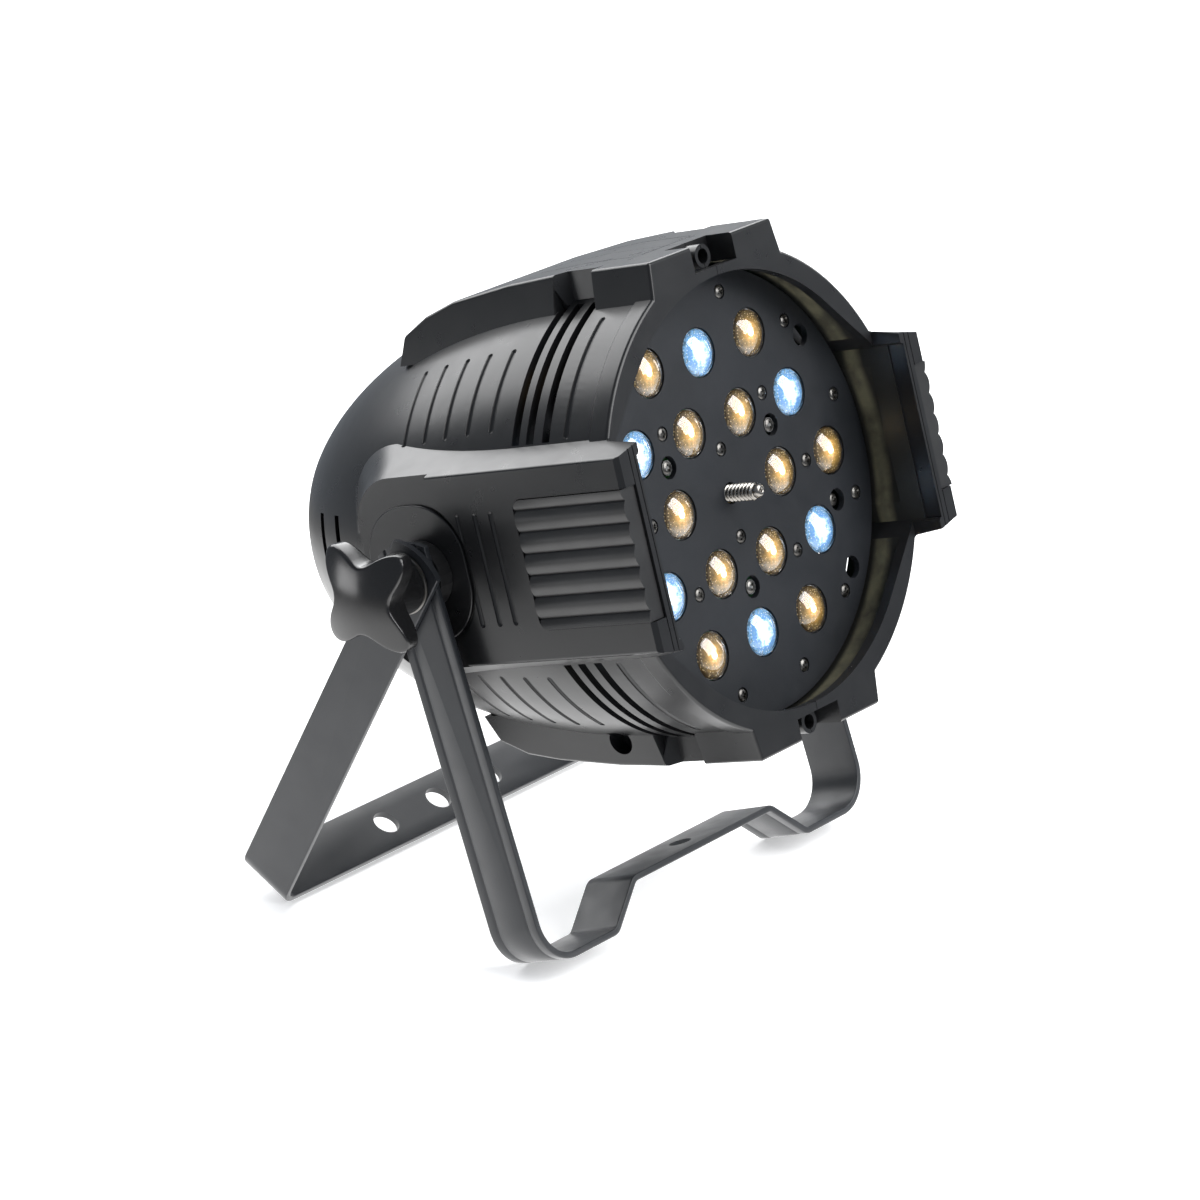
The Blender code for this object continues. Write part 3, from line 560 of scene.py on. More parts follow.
def wall_material():
    """Near black, with a painted olive sheen band just in front of the plate that stands in for the
    lamp's light on the wall; noise makes the band patchy.
    """
    mat = grained("inner_wall", (0.012, 0.012, 0.011), (0.018, 0.0175, 0.016),
                  (0.34, 0.44), 1500.0, 0.2)
    axis = CAN.to_3x3() @ Vector((0.0, 1.0, 0.0))
    plate_level = PLATE.dot(axis)
    along = node(mat, "ShaderNodeVectorMath", operation="DOT_PRODUCT")
    along.inputs[1].default_value = axis
    link(mat, object_place(mat), along.inputs[0])
    level = along.outputs["Value"]
    # painted sheen: an olive band just in front of the plate, made patchy by noise, stands in for
    # lamp light falling on the wall
    rise = remap(mat, level, plate_level - 0.0115, plate_level - 0.0075, 0.0, 1.0)
    fall = remap(mat, level, plate_level - 0.0030, plate_level - 0.0005, 1.0, 0.0)
    sheen_mottle = remap(mat, noise(mat, 70.0, 4.0, 0.6), 0.35, 0.62, 0.35, 1.0)
    sheen_band = product(mat, product(mat, rise, fall), sheen_mottle)
    painted, sheen_olive = (0.015, 0.0148, 0.013), (0.150, 0.140, 0.090)
    to_shader(mat, mix_colours(mat, sheen_band, painted, sheen_olive), "Base Color")
    return mat


# the inner wall's material, with its painted sheen band
sheen_wall = wall_material()


# -------- the two shells
def dome_radius(y, radius, length):
    if y <= TAPER_START:
        return radius
    return radius * math.sqrt(1 - ((y - TAPER_START) / length) ** 2)


def dome_levels(last, steps):
    span = last - TAPER_START
    return [TAPER_START + span * math.sin(math.pi / 2 * i / steps) for i in range(steps + 1)]


def can_solid():
    edge = 0.0015
    profile = [(0.0, RIM_FRONT)]
    for angle in (0.0, math.pi / 6, math.pi / 3, math.pi / 2):
        profile.append((RIM_R - edge + edge * math.sin(angle),
                        RIM_FRONT + edge - edge * math.cos(angle)))
    profile += [(RIM_R, -0.0105), (BODY_R, -0.0090)]
    profile += [(dome_radius(y, BODY_R, DOME_LENGTH), y) for y in dome_levels(REAR, 40)]
    profile.append((0.0, REAR))
    return turned("can", profile, ROUND_STEPS)


def can_hollow():
    start = RIM_FRONT + LIP_DEPTH
    last = REAR - 0.0055
    profile = [(0.0, start), (INNER_R, start)]
    profile += [(dome_radius(y, INNER_R, INNER_DOME), y) for y in dome_levels(last, 20)]
    profile.append((0.0, last))
    return turned("hollow", profile, ROUND_STEPS)


def opening_outline():
    """The front opening: round, with two straight sides at the ears."""
    x = EAR_INNER_X
    z = OPENING_R * math.sqrt(2) - x
    outline = [(x, -z), (x, z)] + arc((0, 0), OPENING_R, 45, 135, 45)
    outline += [(-x, z), (-x, -z)] + arc((0, 0), OPENING_R, 225, 315, 45)
    return outline


def ear_outline(front, rear, half, corner):
    outline = [(front, -half)]
    outline += arc((rear - corner, -half + corner), corner, -90, 0, 16)
    outline += arc((rear - corner, half - corner), corner, 0, 90, 16)
    outline.append((front, half))
    return outline


def ear_solid(side):
    """The ear's body, which widens towards the can, with its front end, which widens forwards."""
    levels = (
        (EAR_X, EAR_REAR, EAR_HALF, 0.022),
        (EAR_INNER_X, EAR_REAR + 0.010, EAR_HALF + 0.005, 0.026),
        (0.080, EAR_REAR + 0.025, EAR_HALF + 0.0105, 0.031),
    )
    rings = []
    for x, rear, half, corner in levels:
        outline = ear_outline(RIM_FRONT, rear, half, corner)
        rings.append([(side * x, y, z) for y, z in outline])
    ear = loft("ear", rings)
    face = EAR_X - 0.0002
    round_edges(ear, EDGE_ROUND,
                lambda middle: abs(middle.x) > face and middle.y > RIM_FRONT + 0.0001)
    rings = []
    nose_rings = ((EAR_FRONT, 0.0, 0.0030), (RIM_FRONT, 0.0, 0.0050), (-0.0150, 0.0006, 0.0044))
    for y, sink, flare in nose_rings:
        wide = EAR_HALF + flare - sink
        half = EAR_HALF - sink
        corners = ((EAR_X - sink, -half), (EAR_X - sink, half), (EAR_INNER_X, wide),
                   (EAR_INNER_X - 0.001, wide), (EAR_INNER_X - 0.001, -wide), (EAR_INNER_X, -wide))
        rings.append([(side * x, y, z) for x, z in corners])
    nose = loft("nose", rings)
    round_edges(nose, EDGE_ROUND,
                lambda middle: abs(middle.x) > face and abs(middle.z) > EAR_HALF - 0.001)
    return join(ear, nose)


def nose_chamfers(side):
    """Cutters that chamfer the ear's front end: its outer edge and its two inner corners."""
    size = 0.0020
    edge = [(EAR_X + 0.001, EAR_FRONT - 0.001), (EAR_X + 0.001, EAR_FRONT + size + 0.001)]
    edge.append((EAR_X - size - 0.001, EAR_FRONT - 0.001))
    cutters = [prism("edge", [(side * x, y) for x, y in edge], "Z", -0.060, 0.060)]
    for sign in (-1, 1):
        x, z = EAR_INNER_X, EAR_HALF + 0.003
        corner = [(x - 0.003, z + 0.010), (x - 0.003, z - 0.003), (x + 0.0045, z + 0.010)]
        corner = [(side * u, sign * v) for u, v in corner]
        cutters.append(prism("corner", corner, "Y", EAR_FRONT - 0.002, RIM_FRONT - 0.0005))
    return cutters


def ear_cuts(side):
    """The ear's recessed rear, its arch, the grip's pocket, the front end's lines, the hollow."""
    front = EAR_FRONT - 0.001
    recess = rectangle(PANEL_END, 0.1600, 0.0600)
    arch = rounded_rectangle((0.0590, -0.0325), (0.1180, 0.0325), 0.026, 20)
    corner = (EAR_FRONT - 0.006, -POCKET_HALF)
    pocket = rounded_rectangle(corner, (POCKET_REAR, POCKET_HALF), 0.005, 8)
    nose_pocket = rounded_rectangle(corner, (NOSE_STEP, POCKET_HALF), 0.0012, 4)
    line = rectangle(front, EAR_FRONT + 0.0007, 0.0480)
    step = rectangle(front, -0.0268, 0.0395)
    inside = rectangle(0.0115, 0.1030, 0.0365)
    cuts = [side_prism("ear_cut", outline, side, near, far) for outline, near, far in (
        (recess, EAR_X - PANEL_DROP, EAR_CUT_X),
        (arch, EAR_X - PANEL_DROP, EAR_CUT_X),
        (pocket, POCKET_X, EAR_CUT_X),
        (nose_pocket, NOSE_X, EAR_CUT_X),
        (line, 0.0967, 0.0972),
        (line, NOSE_X, NOSE_X + 0.0005),
        (step, 0.0930, EAR_INNER_X + 0.0008),
    )]
    cuts += nose_chamfers(side)
    return cuts + [side_prism("inside", inside, side, 0.0850, EAR_HOLLOW_X)]


def pivot_boss(side):
    """The raised round-ended field that the bracket turns on."""
    outline = rounded_rectangle((0.0615, -0.0300), (0.1155, 0.0300), 0.024, 20)
    boss = side_prism("boss", outline, side, 0.1030, BOSS_X)
    return round_edges(boss, 0.0007, lambda middle: abs(middle.x) > BOSS_X - 0.0002)


def spine_crown(sign):
    return SPINE_TOP if sign > 0 else SPINE_BOTTOM


def spine_solid(sign):
    """The block on top of the can, sign 1, or below it, sign -1."""
    crown = spine_crown(sign)
    outline = [(RIM_FRONT, 0.080), (RIM_FRONT, crown), (0.034, crown), (0.060, crown - SPINE_STEP)]
    outline += [(0.093, crown - 0.0055), (0.110, 0.0995), (0.1225, 0.0930), (0.1275, 0.080)]
    spine = prism("spine", [(y, sign * z) for y, z in outline], "X", -0.050, 0.050)
    section = [(SPINE_HALF, 0.112), (0.0480, 0.078), (-0.0480, 0.078), (-SPINE_HALF, 0.112)]
    section = [(x, sign * z) for x, z in section]
    keep(spine, prism("section", section, "Y", RIM_FRONT - 0.005, 0.140))
    round_edges(spine, 0.0014, lambda middle: abs(middle.z) > 0.0935 and middle.y < 0.121)
    low, high = sorted((sign * 0.0700, sign * 0.1150))
    for side in (-1, 1):
        notch = [(0.0365, 0.0300), (0.0520, 0.0395), (0.0520, 0.0120), (0.0365, 0.0120)]
        cut(spine, prism("notch", [(side * x, y) for x, y in notch], "Z", low, high))
    return spine


def spine_line(sign):
    """A fine line engraved on the crown: a rectangle open at the back, with cut front corners."""
    crown = spine_crown(sign)
    corners = ((-0.020, 0.060), (-0.020, 0.034), (-0.020, 0.0075), (-0.017, 0.0045),
               (0.017, 0.0045), (0.020, 0.0075), (0.020, 0.034), (0.020, 0.060))
    path = []
    for x, y in corners:
        level = crown if y < 0.035 else crown - SPINE_STEP
        path.append((Vector((x, y, sign * level)), Vector((0.0, 0.0, sign))))
    return swept("line", path, 8, 0.0003, 0.0004)


def spine_boss(sign):
    """The round lug in the spine's front notch that its screw goes through."""
    return cylinder("boss", "Y", -0.0140, -0.0040, 0.0052, (0.0, sign * SEAM_SCREW_Z))


def spine_cuts(sign):
    hollow = [(0.004, 0.080), (0.004, 0.1055), (0.034, 0.1055), (0.060, 0.1040)]
    hollow += [(0.093, 0.1000), (0.108, 0.0960), (0.112, 0.080)]
    hollow = [(y, sign * z) for y, z in hollow]
    low, high = sorted((sign * 0.0985, sign * 0.1150))
    notch_low, notch_high = (-0.0145, RIM_FRONT - 0.001, low), (0.0145, -0.006, high)
    return [
        prism("spine_hollow", hollow, "X", -0.0335, 0.0335),
        box("front_notch", notch_low, notch_high),
    ]


def vent_cutter(start, side, sign):
    first, last = VENT_ANGLES
    outer = arc((0, 0), 0.112, first, last, 40)
    inner = arc((0, 0), 0.090, last, first, 40)
    outline = [(side * x, sign * z) for x, z in outer + inner]
    return prism("vent", outline, "Y", start, start + VENT_WIDTH)


def rear_vent_cutter(start, side):
    return side_prism("rear_vent", rectangle(start, start + 0.004, 0.0225), side, 0.050, 0.100)


def flank_groove(y, first, last, side, sign):
    """A shallow round-ended channel round the can, between two angles in degrees."""
    radius = dome_radius(y, BODY_R, DOME_LENGTH)
    slope = 0.0
    if y > TAPER_START:
        slope = -BODY_R ** 2 * (y - TAPER_START) / (DOME_LENGTH ** 2 * radius)
    points = []
    for i in range(25):
        angle = math.radians(first + (last - first) * i / 24)
        outward = Vector((side * math.cos(angle), -slope, sign * math.sin(angle))).normalized()
        spot = Vector((side * radius * math.cos(angle), y, sign * radius * math.sin(angle)))
        points.append((spot, outward))
    return swept("groove", points, 12, GROOVE_HALF, GROOVE_DEPTH)


def ear_groove(y, side):
    outward = Vector((side, 0.0, 0.0))
    points = [(Vector((side * EAR_X, y, z)), outward)
              for z in (-0.0240, -0.0120, 0.0, 0.0120, 0.0230)]
    return swept("groove", points, 12, 0.0014, 0.0010)


def inner_wall(half):
    """Give the faces round the lens plate, which look inwards, the wall material with its painted
    sheen band.
    """
    half.data.materials.append(sheen_wall)
    to_can = CAN.inverted()
    turn = to_can.to_3x3()
    for face in half.data.polygons:
        spot = to_can @ face.center
        normal = turn @ face.normal
        radial = Vector((spot.x, 0.0, spot.z))
        near = -0.0148 < spot.y < 0.030 and radial.length < 0.1025
        if near and normal.dot(radial) < -0.3 * radial.length:
            face.material_index = 1


def make_shells():
    shell = can_solid()
    join(shell, *both_sides(ear_solid), spine_solid(1), spine_solid(-1))
    cuts = [can_hollow(), prism("opening", opening_outline(), "Y", EAR_FRONT - 0.01, 0.010)]
    for side in (-1, 1):
        cuts += ear_cuts(side)
        cuts += [rear_vent_cutter(start, side) for start in REAR_VENTS]
        cuts.append(side_prism("cord_hole", circle(0.006, 40, CORD_HOLE), side, 0.036, 0.050))
        for sign in (-1, 1):
            cuts += [vent_cutter(start, side, sign) for start in VENT_STARTS]
            cuts += [flank_groove(y, 32.0, 53.0, side, sign) for y in FLANK_GROOVES]
            cuts.append(flank_groove(FRONT_GROOVE, 28.5, 60.0, side, sign))
        cuts += [ear_groove(y, side) for y in EAR_GROOVES]
    cuts += spine_cuts(1) + spine_cuts(-1)
    seat_start, seat_end = PANEL_Y - GAP, REAR + 0.001
    cuts.append(cylinder("panel_seat", "Y", seat_start, seat_end, PANEL_R + GAP, steps=96))
    cuts.append(cylinder("rear_opening", "Y", REAR - 0.010, REAR, 0.0475, steps=96))
    cut(shell, *cuts)
    join(shell, *both_sides(pivot_boss), spine_boss(1), spine_boss(-1))
    cut(shell, cylinder("bolt_hole", "X", -0.120, 0.120, HOLE_R, (PIVOT_BACK, 0.0)))
    for sign in (-1, 1):
        centre = (0.0, sign * SEAM_SCREW_Z)
        hole = cylinder("screw_hole", "Y", -0.0160, 0.0010, 0.0033, centre, 32)
        cut(shell, hole, spine_line(sign))
    for name, low, high in (("shell_left", -0.200, -GAP / 2), ("shell_right", GAP / 2, 0.200)):
        half = add_object(name, shell.data.copy())
        keep(half, box("half", (low, -0.100, -0.200), (high, 0.300, 0.200)))
        finish(half, name.replace("shell", "housing"), housing_black, CAN, "can",
               [name], 32.0)
        even_normals(half)
        inner_wall(half)
    bpy.data.objects.remove(shell)


make_shells()


def make_grip_pads():
    """The ribbed grips, each with a thicker block where it fills the ear's front end."""
    half = POCKET_HALF - GAP
    front = EAR_FRONT + 0.0012
    back = POCKET_X + 0.0008
    ribs = 6
    steps = 24
    crest = []
    for i in range(ribs * steps + 1):
        z = -half + 2 * half * i / (ribs * steps)
        rise = abs(math.cos(math.pi * i / steps)) ** 0.75
        crest.append((EAR_X - 0.0010 + 0.0018 * rise, z))
    outline = crest + [(POCKET_X + GAP, half), (POCKET_X + GAP, -half)]
    for side, name in ((-1, "grip_pad_left"), (1, "grip_pad_right")):
        mirrored = [(side * x, z) for x, z in outline]
        pad = prism(name, mirrored, "Y", front, 0.0400)
        ends = rounded_rectangle((EAR_FRONT - 0.005, -half), (POCKET_REAR - GAP, half), 0.0048, 8)
        keep(pad, side_prism("ends", ends, side, 0.100, EAR_CUT_X))
        block = [(back, half), (NOSE_X + GAP, half), (NOSE_X + GAP, -half), (back, -half)]
        block = [(side * x, z) for x, z in block]
        join(pad, prism("block", block, "Y", front, NOSE_STEP - GAP))
        finish(pad, name.replace("grip_pad", "ribbed_pad"), pad_black, CAN, "can",
               [name], 50.0)


make_grip_pads()


# -------- the lens plate and its screws
def lens_cells():
    """(i, j) places on a hexagonal lattice: rows of 3, 4, 5, 4 and 3 without the middle one."""
    return [(i, j) for i in range(-2, 3) for j in range(-2, 3)
            if (i, j) != (0, 0) and abs(i + j) <= 2]


def cell_place(cell):
    i, j = cell
    return (LENS_PITCH * (j + i / 2), LENS_PITCH * i * math.sqrt(3) / 2)


def polar(radius, degrees):
    return (radius * math.cos(math.radians(degrees)), radius * math.sin(math.radians(degrees)))


COOL_CELLS = ((1, 1), (-1, -1), (2, -1), (-2, 1), (1, -2), (-1, 2))
ROD_PLACES = [polar(ROD_CIRCLE, a) for a in ROD_ANGLES]
SIDE_HOLES = [(sx * 0.070, z) for sx in (-1, 1) for z in (-0.053, -0.022, 0.053)]
PLATE_SCREWS = [polar(0.087, 15 + 30 * k) for k in range(12)]
PLATE_SCREWS += [(0.0, 0.0195), (0.0, -0.0195), (0.055, 0.0), (-0.055, 0.0)]
PLATE_SCREWS += [(sx * 0.0355, sz * 0.0355) for sx in (-1, 1) for sz in (-1, 1)]


def make_lens_plate():
    plate = cylinder("lens_plate", "Y", 0.0, PLATE_T, PLATE_R, steps=160)
    holes = [(cell_place(c), LENS_R + 0.0005) for c in lens_cells()]
    holes += [(p, PLATE_HOLE_R) for p in ROD_PLACES + SIDE_HOLES]
    holes.append(((0.0, 0.0), SCREW_R + 0.0007))
    cut(plate, group("holes", [cylinder("hole", "Y", -0.01, 0.01, r, p, 40) for p, r in holes]))
    seats = [cylinder("seat", "Y", -0.01, SEAT_DEPTH, SEAT_R, p, 32) for p in PLATE_SCREWS]
    cut(plate, group("seats", seats))
    bevel(plate, 0.00035)
    finish(plate, "emitter_plate", plate_black, CAN, "zoom_carriage",
           ["lens_plate"])


def cross_screw(centre, level, radius, turn):
    """A pan-head screw with a cross recess, its head's underside at level, facing forwards."""
    rise = 0.0010
    back = level + 0.0004
    profile = [(0.0, level - rise), (radius * 0.45, level - rise * 0.94),
               (radius * 0.78, level - rise * 0.70), (radius * 0.95, level - rise * 0.35),
               (radius, level), (radius * 0.5, back), (0.0, back)]
    head = turned("head", profile, 28, centre=centre)
    for k in (0, 1):
        angle = turn + k * math.pi / 2
        reach = radius * 0.66
        width = radius * 0.19
        ca, sa = math.cos(angle), math.sin(angle)
        corners = ((reach, width), (-reach, width), (-reach, -width), (reach, -width))
        rings = []
        for share, y in ((1.0, level - rise * 1.3), (0.6, level - rise * 0.10)):
            rings.append([(centre[0] + share * (u * ca) - v * sa, y,
                           centre[1] + share * (u * sa) + v * ca) for u, v in corners])
        cut(head, loft("recess", rings))
    return head


def make_plate_screws():
    """Small screws all over the plate, and larger ones on the guide rods' ends and behind it."""
    rng = random.Random(7)
    heads = [cross_screw(p, SEAT_DEPTH - GAP, 0.0029, rng.uniform(0, math.pi))
             for p in PLATE_SCREWS]
    finish(group("plate_screws", heads), "plate_screws", dark_steel, CAN, "zoom_carriage")
    rod_end = 0.0012
    heads = [cross_screw(p, rod_end, 0.0030, rng.uniform(0, math.pi)) for p in ROD_PLACES]
    heads += [cross_screw((x, z), PLATE_T, 0.0030, 0.5) for x, z in SIDE_HOLES if z == -0.022]
    rods = [cylinder("rod_end", "Y", rod_end, PLATE_T, 0.0032, p, 28) for p in ROD_PLACES]
    finish(group("rod_screws", heads + rods), "rod_screws", dark_steel, CAN, "can")


make_lens_plate()
make_plate_screws()


# -------- the lenses
def lens_profile():
    """A thin clear dome, as (radius, level) from the tip of its face to the middle of its back."""
    steps = 14
    ball = (LENS_R ** 2 + DOME_HEIGHT ** 2) / (2 * DOME_HEIGHT)
    hollow = ball - DOME_WALL
    top = math.asin(LENS_R / ball)
    face = []
    back = []
    for i in range(steps + 1):
        sine, drop = math.sin(top * i / steps), 1 - math.cos(top * i / steps)
        face.append((ball * sine, DOME_FRONT + ball * drop))
        back.append((hollow * sine, DOME_FRONT + DOME_WALL + hollow * drop))
    return face + back[::-1]


def core_profile():
    """The shallow glowing body under a dome."""
    steps = 10
    points = [(CORE_R * share, -CORE_HEIGHT + CORE_HEIGHT * share ** 2)
              for share in [i / steps for i in range(steps + 1)]]
    return points + [(0.0099, 0.0006), (0.0099, 0.0018), (0.0, 0.0018)]


def spot_attribute(obj, centre):
    """Each vertex's place across and along its own lens, in lens radii, for the colour pattern."""
    spots = obj.data.attributes.new("spot", "FLOAT_VECTOR", "POINT")
    for vertex, spot in zip(obj.data.vertices, spots.data):
        x, y, z = vertex.co
        spot.vector = ((x - centre[0]) / LENS_R, y / 0.010, (z - centre[1]) / LENS_R)
    return obj


def joined(name, parts):
    """One object of several, with their attributes kept."""
    first = parts[0]
    with bpy.context.temp_override(active_object=first, selected_editable_objects=parts,
                                   selected_objects=parts):
        bpy.ops.object.join()
    first.name = name
    return first


def lens_radius(mat):
    """The vertex's distance from its lens's middle, in lens radii, and its place in the lens."""
    spot = node(mat, "ShaderNodeAttribute", attribute_name="spot")
    flat = node(mat, "ShaderNodeVectorMath", operation="MULTIPLY")
    link(mat, spot.outputs["Vector"], flat.inputs[0])
    flat.inputs[1].default_value = (1.0, 0.0, 1.0)
    length = node(mat, "ShaderNodeVectorMath", operation="LENGTH")
    link(mat, flat.outputs["Vector"], length.inputs[0])
    return length.outputs["Value"], spot.outputs["Vector"]


def core_material(name, stops, speck, uneven, glow):
    """A lit, mottled body: colour stops from its middle to its rim paint the emitter's hot spot
    fading to shade, in both base colour and glow, with small bright specks.
    """
    mat = new_material(name, stops[-1][1], 0.35, Emission_Strength=glow)
    radius, spot = lens_radius(mat)
    mottle = node(mat, "ShaderNodeTexNoise", Scale=4.5, Detail=6.0, Roughness=0.75)
    link(mat, spot, mottle.inputs["Vector"])
    shifted = node(mat, "ShaderNodeMath", operation="MULTIPLY_ADD")
    link(mat, remap(mat, mottle.outputs["Fac"], 0.3, 0.7, -1.0, 1.0), shifted.inputs[0])
    shifted.inputs[1].default_value = uneven
    link(mat, radius, shifted.inputs[2])
    ramp = node(mat, "ShaderNodeValToRGB")
    elements = ramp.color_ramp.elements
    elements[0].position, elements[0].color = stops[0][0], (*stops[0][1], 1.0)
    elements[1].position, elements[1].color = stops[-1][0], (*stops[-1][1], 1.0)
    for position, colour in stops[1:-1]:
        elements.new(position).color = (*colour, 1.0)
    link(mat, shifted.outputs["Value"], ramp.inputs["Fac"])
    cells = node(mat, "ShaderNodeTexVoronoi", Scale=9.0)
    link(mat, spot, cells.inputs["Vector"])
    specks = remap(mat, cells.outputs["Distance"], 0.16, 0.26, 1.0, 0.0)
    result = mix_colours(mat, specks, ramp.outputs["Color"], speck)
    to_shader(mat, result, "Base Color")
    to_shader(mat, result, "Emission Color")
    return mat


def glowing(name, colour, strength):
    return new_material(name, colour, 0.4, Emission_Color=(*colour, 1.0),
                        Emission_Strength=strength)


# colour stops as (distance from the lens's middle, colour): a painted hot spot in the middle that
# fades to painted shade at the rim
WARM_STOPS = ((0.12, (1.0, 0.78, 0.36)), (0.26, (0.78, 0.46, 0.12)), (0.50, (0.40, 0.235, 0.055)),
              (0.74, (0.15, 0.092, 0.028)), (0.95, (0.050, 0.034, 0.016)))
COOL_STOPS = ((0.20, (1.0, 1.0, 1.0)), (0.40, (0.55, 0.79, 1.0)), (0.60, (0.10, 0.30, 0.66)),
              (0.88, (0.20, 0.40, 0.62)), (1.0, (0.08, 0.16, 0.26)))
WARM_SPECK = (0.95, 0.72, 0.36)
COOL_SPECK = (0.85, 0.93, 1.0)
EMITTER_GLOW = 5.0
CHIP_PROFILE = [(0.0, -0.0015), (0.0008, -0.0014), (0.0014, -0.0011), (0.0017, -0.0006),
                (0.0017, 0.0), (0.0, 0.0)]


def make_lenses():
    """The clear domes, the mottled bodies under them and the emitters in the bodies' middles."""
    domes = []
    cores = {True: [], False: []}
    chips = {True: [], False: []}
    for cell in lens_cells():
        centre = cell_place(cell)
        cool = cell in COOL_CELLS
        domes.append(turned("dome", lens_profile(), 48, centre=centre))
        core = turned("core", core_profile(), 40, centre=centre)
        cores[cool].append(spot_attribute(core, centre))
        chips[cool].append(turned("chip", CHIP_PROFILE, 24, centre=centre))
    clear = new_material("clear_acrylic", (0.98, 0.98, 0.97), 0.02, Transmission_Weight=1.0,
                         IOR=1.62)
    finish(group("domes", domes), "lens_domes", clear, CAN, "zoom_carriage",
           ["lens_array"])
    warm_core = core_material("warm_core", WARM_STOPS, WARM_SPECK, 0.16, 0.38)
    cool_core = core_material("cool_core", COOL_STOPS, COOL_SPECK, 0.30, 0.6)
    finish(joined("warm_cores", cores[False]), "warm_cores", warm_core, CAN, "zoom_carriage")
    finish(joined("cool_cores", cores[True]), "cool_cores", cool_core, CAN, "zoom_carriage")
    warm = glowing("warm_emitter", (1.0, 0.88, 0.60), EMITTER_GLOW)
    cool = glowing("cool_emitter", (0.92, 0.97, 1.0), EMITTER_GLOW)
    finish(group("chips", chips[False]), "warm_emitters", warm, CAN, "zoom_carriage")
    finish(group("chips", chips[True]), "cool_emitters", cool, CAN, "zoom_carriage")


make_lenses()


# -------- the threaded stud
def make_stud():
    """The zoom screw, with a rounded thread and a centre drilling in its tip."""
    sides = 40
    levels_per_turn = 14
    length = STUD_END - STUD_START
    count = int(length / STUD_PITCH * levels_per_turn)
    tip = ((0.0006, -0.0160), (0.0008, -0.0168), (0.0014, -0.0170), (0.0022, -0.0167),
           (0.0029, -0.0160), (0.0032, -0.0152))
    rings = [[(x, level, z) for x, z in circle(radius, sides)] for radius, level in tip]
    for i in range(count + 1):
        level = STUD_START + length * i / count
        fade = min(1.0, (level - STUD_START) / STUD_PITCH)
        ring = []
        for k in range(sides):
            angle = 2 * math.pi * k / sides
            phase = (level / STUD_PITCH - k / sides) % 1.0
            crest = 0.5 + 0.5 * math.cos(2 * math.pi * phase)
            radius = STUD_CORE_R + fade * STUD_CREST * crest ** 0.8
            ring.append((radius * math.cos(angle), level, radius * math.sin(angle)))
        rings.append(ring)
    finish(loft("stud", rings), "zoom_stud", stud_steel, CAN, "zoom_screw",
           ["lead_screw"], 60.0)


make_stud()


# -------- the brackets
def rounded_path(corners, steps):
    """A polyline through (x, z, bend radius) corners, with its bends as arcs."""
    points = [Vector(corners[0][:2])]
    for before, corner, after in zip(corners, corners[1:], corners[2:]):
        here = Vector(corner[:2])
        towards = (Vector(before[:2]) - here).normalized()
        onwards = (Vector(after[:2]) - here).normalized()
        half = towards.angle(onwards) / 2
        reach = corner[2] / math.tan(half)
        centre = here + (towards + onwards).normalized() * corner[2] / math.sin(half)
        start = here + towards * reach - centre
        sweep = start.angle_signed(here + onwards * reach - centre)
        for i in range(steps + 1):
            turn = Matrix.Rotation(-sweep * i / steps, 2)
            points.append(centre + turn @ start)
    points.append(Vector(corners[-1][:2]))
    return points


def bar_section(creases):
    """The bar's cross-section as (across, out) points with rounded edges; the outer face is out."""
    half_w, half_t, r = BAR_W / 2, BAR_T / 2, BAR_EDGE_R
    section = arc((half_w - r, half_t - r), r, 90, 0, 4)
    section += arc((half_w - r, -half_t + r), r, 0, -90, 4)
    if creases:
        for sign in (1, -1):
            middle = sign * (half_w - 0.0050)
            crease = ((0.0008, 0.0), (0.0004, 0.00030), (0.0, 0.00042), (-0.0004, 0.00030),
                      (-0.0008, 0.0))
            section += [(middle + u, -half_t + v) for u, v in crease]
    section += arc((-half_w + r, -half_t + r), r, -90, -180, 4)
    section += arc((-half_w + r, half_t - r), r, 180, 90, 4)
    return section


def bent_bar(name, half_corners, creases, steps):
    """A bracket: the section swept along the bar's bends, with round ends and bolt holes."""
    mirrored = [(-x, z, r) for x, z, r in reversed(half_corners)]
    path = rounded_path(half_corners + mirrored, steps)
    section = bar_section(creases)
    rings = []
    for i, point in enumerate(path):
        before = (point - path[i - 1]).normalized() if i > 0 else None
        after = (path[i + 1] - point).normalized() if i < len(path) - 1 else None
        along = ((before or after) + (after or before)).normalized()
        stretch = 1.0 / max(0.5, along.dot(after or before))
        outward = Vector((-along.y, along.x)) * -stretch
        rings.append([(point.x + outward.x * v, u, point.y + outward.y * v) for u, v in section])
    bar = loft(name, rings)
    half = BAR_W / 2
    wide = half + 0.001
    ends = arc((0, BAR_TOP - BAR_W), BAR_W, 59.5, 120.5, 30)
    ends += [(-wide, 0.010), (-wide, -0.250), (wide, -0.250), (wide, 0.010)]
    keep(bar, prism("ends", ends, "X", -0.150, 0.150))
    cut(bar, cylinder("bolt_holes", "X", -0.150, 0.150, HOLE_R, steps=40))
    return bar


def lean(leg):
    """The angle from plumb at which a bracket stands on its crossbar's edge."""
    half = BAR_W / 2
    return math.atan2(half, leg) + math.acos(PIVOT.z / math.hypot(half, leg))


